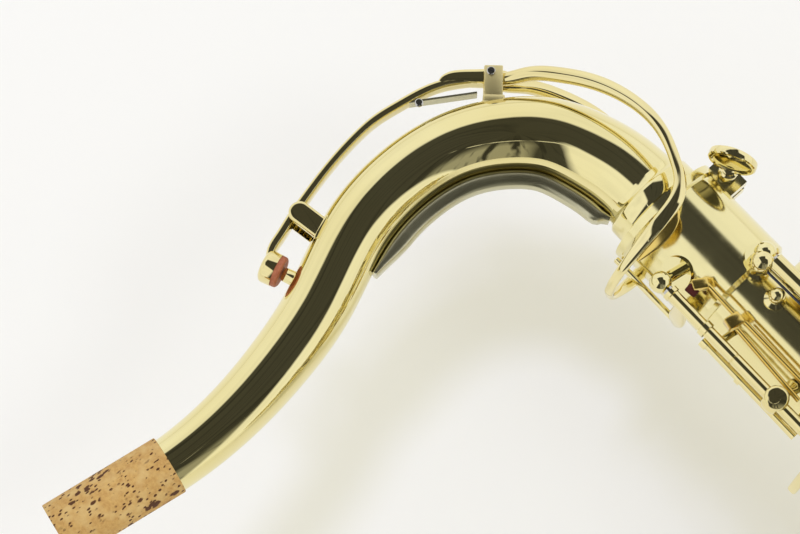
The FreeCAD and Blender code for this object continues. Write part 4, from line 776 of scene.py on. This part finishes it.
# Neck screw: a round dished head that stands on edge, on a shouldered stem
HEAD_X, HEAD_Y, SCREW_Z = 19.3, -16.9, -5.4
HEAD_WAY = Vector((0.9, 0, 0.44)).normalized()
HEAD_HALF = ((0.0, 0.35), (4.9, 0.35), (5.5, 0.6), (5.9, 1.15), (6.5, 1.2), (6.9, 0.9), (7.0, 0.3))
HEAD_OUTLINE = (*HEAD_HALF, *((radius, -height) for radius, height in reversed(HEAD_HALF)))
STEM_OUTLINE = (
    (0.0, -6.0), (1.6, -6.0), (1.6, 2.6), (3.3, 2.7), (3.5, 3.1), (3.5, 3.7), (3.1, 4.1), (2.8, 4.4),
    (2.8, 8.2), (2.6, 8.7), (1.9, 9.1), (1.8, 9.8), (2.2, 10.6), (0.0, 11.6),
)
head = turned(HEAD_OUTLINE, toward(at(HEAD_X, HEAD_Y, SCREW_Z), HEAD_WAY), segments=72)
turned(STEM_OUTLINE, toward(at(HEAD_X, 0.0, SCREW_Z), -AXIS_Y), segments=48, bm=head)
piece("neck_screw_fine", head, KEY_BRASS, "neck_clamp_screw", ("neck_clamp_screw",))

# Octave linkage: a sleeve on its rod, two arms and the pin that stands in the octave band
ROD_X, ROD_Y = -19.8, -17.8
SLEEVE_TOP_Z, PIN_ARM_Z = -21.1, -26.1
SLEEVE_OUTLINE = (
    (1.56, 0.0), (2.3, 0.0), (2.3, 1.3), (1.85, 1.5), (1.85, 12.9), (2.4, 13.1), (2.4, 14.9), (1.85, 15.1),
    (1.85, 24.9), (1.7, 25.0), (1.7, 25.2), (1.85, 25.3), (1.85, 60.4), (2.3, 60.6), (2.3, 61.9),
    (1.56, 61.9),
)
PIN_ARM = (
    (-20.0, -16.2, PIN_ARM_Z, 1.9, 1.2), (-20.0, -9.0, PIN_ARM_Z, 2.4, 1.2),
    (-19.6, -1.5, PIN_ARM_Z, 2.3, 1.2), (-19.4, 1.0, PIN_ARM_Z, 1.4, 1.0),
)
TAIL_ARM = (
    (-19.9, -16.2, -80.4, 1.9, 1.2), (-21.6, -6.0, -80.4, 1.7, 1.2), (-24.2, 8.5, -80.4, 1.5, 1.1),
    (-25.0, 13.6, -80.4, 1.4, 1.1),
)
PIN_X, PIN_OUTLINE = -19.4, ((0.0, 0.0), (0.95, 0.0), (0.95, 24.0), (0.8, 24.3), (0.0, 24.3))


def linkage_piece():
    bm = turned(SLEEVE_OUTLINE, toward(at(ROD_X, ROD_Y, SLEEVE_TOP_Z), -AXIS_Z), segments=40)
    for arm in (PIN_ARM, TAIL_ARM):
        sweep(bm, smooth_path(rows_of(arm), count=24), AXIS_Z, sides=28, square=3.0)
    turned(PIN_OUTLINE, toward(at(PIN_X, 0, PIN_ARM_Z), AXIS_Z), segments=24, bm=bm)
    piece("octave_linkage_fine", bm, KEY_BRASS, "octave_linkage", ("octave_linkage",))


# Posts beside the receiver
RING_POST_Z, RING_FACE_OUT, RING_STEM_OUT = -61.7, 2.7, 3.4
RING_FACE_WAY = Vector((-0.19, -0.956, -0.22)).normalized()
RING_OUTLINE = ((1.95, -2.4), (2.9, -2.4), (3.6, -1.5), (3.8, 0.0), (3.6, 1.5), (2.9, 2.4), (1.95, 2.4))
RING_FACE_OUTLINE = ((0.0, 0.0), (3.3, 0.0), (3.45, 0.5), (3.1, 1.2), (2.6, 1.5), (0.0, 1.5))
RING_STEM_OUTLINE = ((0.0, 0.0), (1.5, 0.0), (1.4, 5.0), (2.2, 6.3), (2.2, 7.6), (0.0, 7.6))
BALL_SHARES = ((0.0, -1.0), (0.5, -0.87), (0.87, -0.5), (1.0, 0.0), (0.87, 0.5), (0.5, 0.87), (0.0, 1.0))
TALL_POSTS = ((3.9, -20.4, -32.1, 3.4), (0.8, -18.6, -41.3, 2.4))
POST_FOOT = ((0.0, 14.0), (3.0, 14.0), (3.0, 15.2), (1.7, 15.8))
POST_STEM_RADIUS, BALL_SINK_SHARE = 1.4, 0.8


def ring_post():
    """A bored ball on a stem, with a flat face to the front."""
    inward = Vector((-ROD_X, -ROD_Y, 0)).normalized()
    centre = at(ROD_X, ROD_Y, RING_POST_Z)
    bm = turned(RING_OUTLINE, toward(centre, AXIS_Z), segments=40)
    face = at(ROD_X, ROD_Y - RING_FACE_OUT, RING_POST_Z)
    turned(RING_FACE_OUTLINE, toward(face, RING_FACE_WAY), segments=40, bm=bm)
    stem = centre + inward * RING_STEM_OUT * MM
    turned(RING_STEM_OUTLINE, toward(stem, inward), segments=28, bm=bm)
    piece("ring_post_fine", bm, KEY_BRASS, "body")


def tall_posts():
    """Balls on stems with round feet, each given by its ball's centre and radius."""
    bm = bmesh.new()
    for x, y, z, radius in TALL_POSTS:
        outward = Vector((x, y, 0)).normalized()
        ball = [(radius * wide, radius * high) for wide, high in BALL_SHARES]
        turned(ball, toward(at(x, y, z), outward), segments=36, bm=bm)
        stem_end = math.hypot(x, y) - radius * BALL_SINK_SHARE
        outline = (*POST_FOOT, (POST_STEM_RADIUS, stem_end), (0.0, stem_end))
        turned(outline, toward(at(0, 0, z), outward), segments=28, bm=bm)
    piece("tall_posts_fine", bm, KEY_BRASS, "body")


# Small fittings beside the receiver. Bars are (start, end, radius), blocks (size, place, up, rounding).
SIDE_ROD_BARS = (
    ((-21.4, -13.4, -37.0), (-21.7, -13.4, -72.0), 1.15),
    ((-21.4, -13.4, -36.4), (-21.42, -13.4, -38.4), 1.7),
    ((-21.55, -13.4, -50.0), (-21.57, -13.4, -51.6), 1.6),
    ((-21.5, -13.4, -39.6), (-12.6, -7.9, -39.6), 1.1),
    ((-21.5, -13.4, -69.0), (-12.6, -7.9, -69.0), 1.1),
)
STOP_FRAME_BARS = (
    ((-10.9, -18.0, -26.0), (-11.2, -18.0, -37.0), 0.75),
    ((-10.7, -18.0, -41.0), (-10.9, -18.0, -66.0), 0.75),
    ((-13.6, -18.0, -41.0), (-15.2, -18.0, -66.0), 0.75),
)
STOP_FRAME_BLOCKS = (
    ((4.4, 3.4, 3.0), (-12.4, -17.9, -25.2), (0.5, 0.8), 0.4),
    ((4.6, 3.6, 3.6), (-12.8, -17.9, -38.7), (0.15, 0.95), 0.5),
)
STOP_FELT_OUTLINE = ((0.0, 0.0), (1.5, 0.0), (1.7, 0.3), (1.7, 2.2), (1.5, 2.5), (0.0, 2.5))
STOP_FELT_PLACE, STOP_FELT_WAY = (-15.9, -16.4, -24.9), Vector((0.9, -0.3, 0.1))


def side_rod():
    bm = bmesh.new()
    for start, end, radius in SIDE_ROD_BARS:
        bar(bm, start, end, radius)
    piece("side_rod_fine", bm, KEY_BRASS, "body")


def stop_pieces():
    frame_bm = bmesh.new()
    for start, end, radius in STOP_FRAME_BARS:
        bar(frame_bm, start, end, radius)
    for size, place, up, soft in STOP_FRAME_BLOCKS:
        block(frame_bm, size, upright_place(*place, *up), soft)
    # The stop frame takes the painted gold reflection tone.
    piece("stop_frame_fine", frame_bm, GOLD_REFLECTION_BRASS, "body")
    felt = turned(STOP_FELT_OUTLINE, toward(at(*STOP_FELT_PLACE), STOP_FELT_WAY), segments=32)
    piece("stop_felt_fine", felt, DARK_FELT, "body")


linkage_piece()
ring_post()
tall_posts()
side_rod()
stop_pieces()

# Camera: a long lens that looks down on the instrument, turned in its plane and tipped
PICTURE_WIDTH, SENSOR_WIDTH, FOCAL_PIXELS = 800, 36.0, 2520
CAMERA_TURN, CAMERA_TIP = math.radians(48.1), math.radians(17.0)
CAMERA_PLACE = (-202.28, -669.41, -115.71)


def camera():
    """Makes the camera and gives its right, up and back directions."""
    data = bpy.data.cameras.new("camera")
    data.sensor_width = SENSOR_WIDTH
    data.lens = FOCAL_PIXELS / PICTURE_WIDTH * SENSOR_WIDTH
    data.clip_start, data.clip_end = 0.01, 20.0
    thing = bpy.data.objects.new("camera", data)
    right = Vector((math.sin(CAMERA_TURN), 0, -math.cos(CAMERA_TURN)))
    level = Vector((math.cos(CAMERA_TURN), 0, math.sin(CAMERA_TURN)))
    up = level * math.cos(CAMERA_TIP) - AXIS_Y * math.sin(CAMERA_TIP)
    back = -AXIS_Y * math.cos(CAMERA_TIP) - level * math.sin(CAMERA_TIP)
    place = Matrix((right, up, back)).transposed().to_4x4()
    place.translation = at(*CAMERA_PLACE)
    thing.matrix_world = place
    bpy.context.scene.collection.objects.link(thing)
    bpy.context.scene.camera = thing
    return right, up, back


RIGHT, UP, BACK = camera()

# Table under the instrument, in metres
TABLE_DEPTH, TABLE_X, TABLE_HALF = 0.094, 0.1, 4.0
TABLE_TONE = (0.93, 0.925, 0.905, 1.0)


def table():
    """The pale sheet that the instrument lies on, seen from its front only."""
    bm = bmesh.new()
    bmesh.ops.create_grid(bm, x_segments=1, y_segments=1, size=TABLE_HALF)
    bmesh.ops.transform(bm, matrix=toward(Vector((TABLE_X, TABLE_DEPTH, 0.0)), -AXIS_Y), verts=bm.verts)
    mesh = bpy.data.meshes.new("table")
    bm.to_mesh(mesh)
    bm.free()
    thing = bpy.data.objects.new("table", mesh)
    bpy.context.scene.collection.objects.link(thing)
    material, tree, base = shader("white sheet")
    base.inputs["Base Color"].default_value = TABLE_TONE
    base.inputs["Roughness"].default_value = 0.9
    base.inputs["Specular IOR Level"].default_value = 0.0
    clear = add(tree, "ShaderNodeBsdfTransparent")
    mix = add(tree, "ShaderNodeMixShader")
    side = add(tree, "ShaderNodeNewGeometry")
    for index, source in enumerate((side.outputs["Backfacing"], base.outputs[0], clear.outputs[0])):
        link(tree, source, mix.inputs[index])
    link(tree, mix.outputs[0], tree.nodes["Material Output"].inputs["Surface"])
    mesh.materials.append(material)


table()

# Studio round the instrument. The dark screen's places are angles in radians from the camera's back.
SCREEN_LEFT, SCREEN_RIGHT, SCREEN_WIDENING, SCREEN_TOP = -0.34, 0.40, 0.42, 0.93
SCREEN_END, SOFT_EDGE = (1.82, 1.72), (-0.03, 0.05)
DARK, GREY, LINE_WHITE = (0.038, 0.038, 0.034), (0.36, 0.36, 0.33), (0.9, 0.9, 0.88)
TENT_WHITE, TENT_CLOUD = (1.0, 1.0, 0.99), (0.88, 0.88, 0.87)
ROOM_LIGHT, BACKDROP = (0.875, 0.86, 0.775), (0.92, 0.92, 0.915)


def studio():
    """A white tent with a dark screen behind the camera, which polished metal mirrors."""
    world = bpy.data.worlds.new("studio")
    bpy.context.scene.world = world
    world.use_nodes = True
    tree = world.node_tree

    def times(*sources):
        return value(tree, "MULTIPLY", *sources)

    def plus(*sources):
        return value(tree, "ADD", *sources)

    def minus(*sources):
        return value(tree, "SUBTRACT", *sources)

    way = add(tree, "ShaderNodeTexCoord").outputs["Generated"]
    parts = []
    for axis in (RIGHT, UP, BACK):
        dot = add(tree, "ShaderNodeVectorMath", operation="DOT_PRODUCT")
        dot.inputs[1].default_value = axis
        link(tree, way, dot.inputs[0])
        parts.append(dot.outputs["Value"])
    # The direction as an angle, split into across and up
    angle = value(tree, "ARCCOSINE", parts[2])
    sine = value(tree, "SQRT", minus(1.0001, times(parts[2], parts[2])))
    scale = value(tree, "DIVIDE", angle, sine)
    across, rise = times(parts[0], scale), times(parts[1], scale)
    # The screen's edges lean outwards at the lower and the upper left, and widen at the lower right
    low_left = times(value(tree, "MINIMUM", plus(rise, 0.1), 0.0), 0.57)
    high_left = times(value(tree, "MAXIMUM", rise, 0.0), -0.55)
    left = plus(plus(low_left, high_left), SCREEN_LEFT)
    right = plus(times(ramp(tree, rise, 0.55, 0.30), SCREEN_WIDENING), SCREEN_RIGHT)
    wide = value(tree, "MAXIMUM", minus(value(tree, "ABSOLUTE", across), 0.25), 0.0)
    top = plus(times(wide, -0.5), SCREEN_TOP)
    screen = ramp(tree, angle, *SCREEN_END)
    for inside in (minus(across, left), minus(right, across), minus(top, rise)):
        screen = times(screen, ramp(tree, inside, *SOFT_EDGE))
    # Grey spokes at the lower left and a broken thin white line
    spoke = add(tree, "ShaderNodeCombineXYZ")
    link(tree, times(value(tree, "ARCTAN2", across, rise), 7.0), spoke.inputs[0])
    link(tree, times(angle, 0.9), spoke.inputs[1])
    streak = ramp(tree, noise(tree, spoke.outputs[0], scale=1.0), 0.37, 0.47)
    lean = times(ramp(tree, across, -0.22, -0.02), ramp(tree, rise, -0.32, -0.60))
    shade = mixed(tree, times(streak, plus(times(lean, 0.93), 0.07)), DARK, GREY)
    line = ramp(tree, value(tree, "ABSOLUTE", minus(angle, 0.36)), 0.018, 0.006)
    line = times(line, ramp(tree, rise, -0.08, -0.16))
    line = times(line, ramp(tree, noise(tree, way, scale=6.0, detail=1.0), 0.46, 0.54))
    shade = mixed(tree, line, shade, LINE_WHITE)
    cloud = ramp(tree, noise(tree, way, scale=2.2), 0.45, 0.75)
    room = mixed(tree, screen, mixed(tree, cloud, TENT_WHITE, TENT_CLOUD), shade)
    rays = add(tree, "ShaderNodeLightPath")
    seen = mixed(tree, rays.outputs["Is Glossy Ray"], ROOM_LIGHT, room)
    seen = mixed(tree, rays.outputs["Is Camera Ray"], seen, BACKDROP)
    link(tree, seen, tree.nodes["Background"].inputs["Color"])
    tree.nodes["Background"].inputs["Strength"].default_value = 1.0


studio()

# Two soft lamps, each with its shift right, up and back from the aim in metres
LAMPS = (
    ("soft box", (-0.12, 0.63, 1.04), 0.22, 3.7, (0.58, 0.63, 1.0)),
    ("side box", (0.75, 0.10, 1.30), 0.40, 1.55, (0.9, 0.95, 1.0)),
)
LAMP_AIM = at(-60, 0, 10)


def soft_light(name, shift, size, power, tone):
    """A round lamp that only lights the surfaces and isn't mirrored in them."""
    data = bpy.data.lights.new(name, "AREA")
    data.shape = "DISK"
    data.size = size
    data.energy = power
    data.color = tone
    away = RIGHT * shift[0] + UP * shift[1] + BACK * shift[2]
    thing = bpy.data.objects.new(name, data)
    thing.matrix_world = toward(LAMP_AIM + away, away)
    thing.visible_glossy = False
    bpy.context.scene.collection.objects.link(thing)


for lamp in LAMPS:
    soft_light(*lamp)

bpy.context.scene.view_settings.view_transform = "Standard"
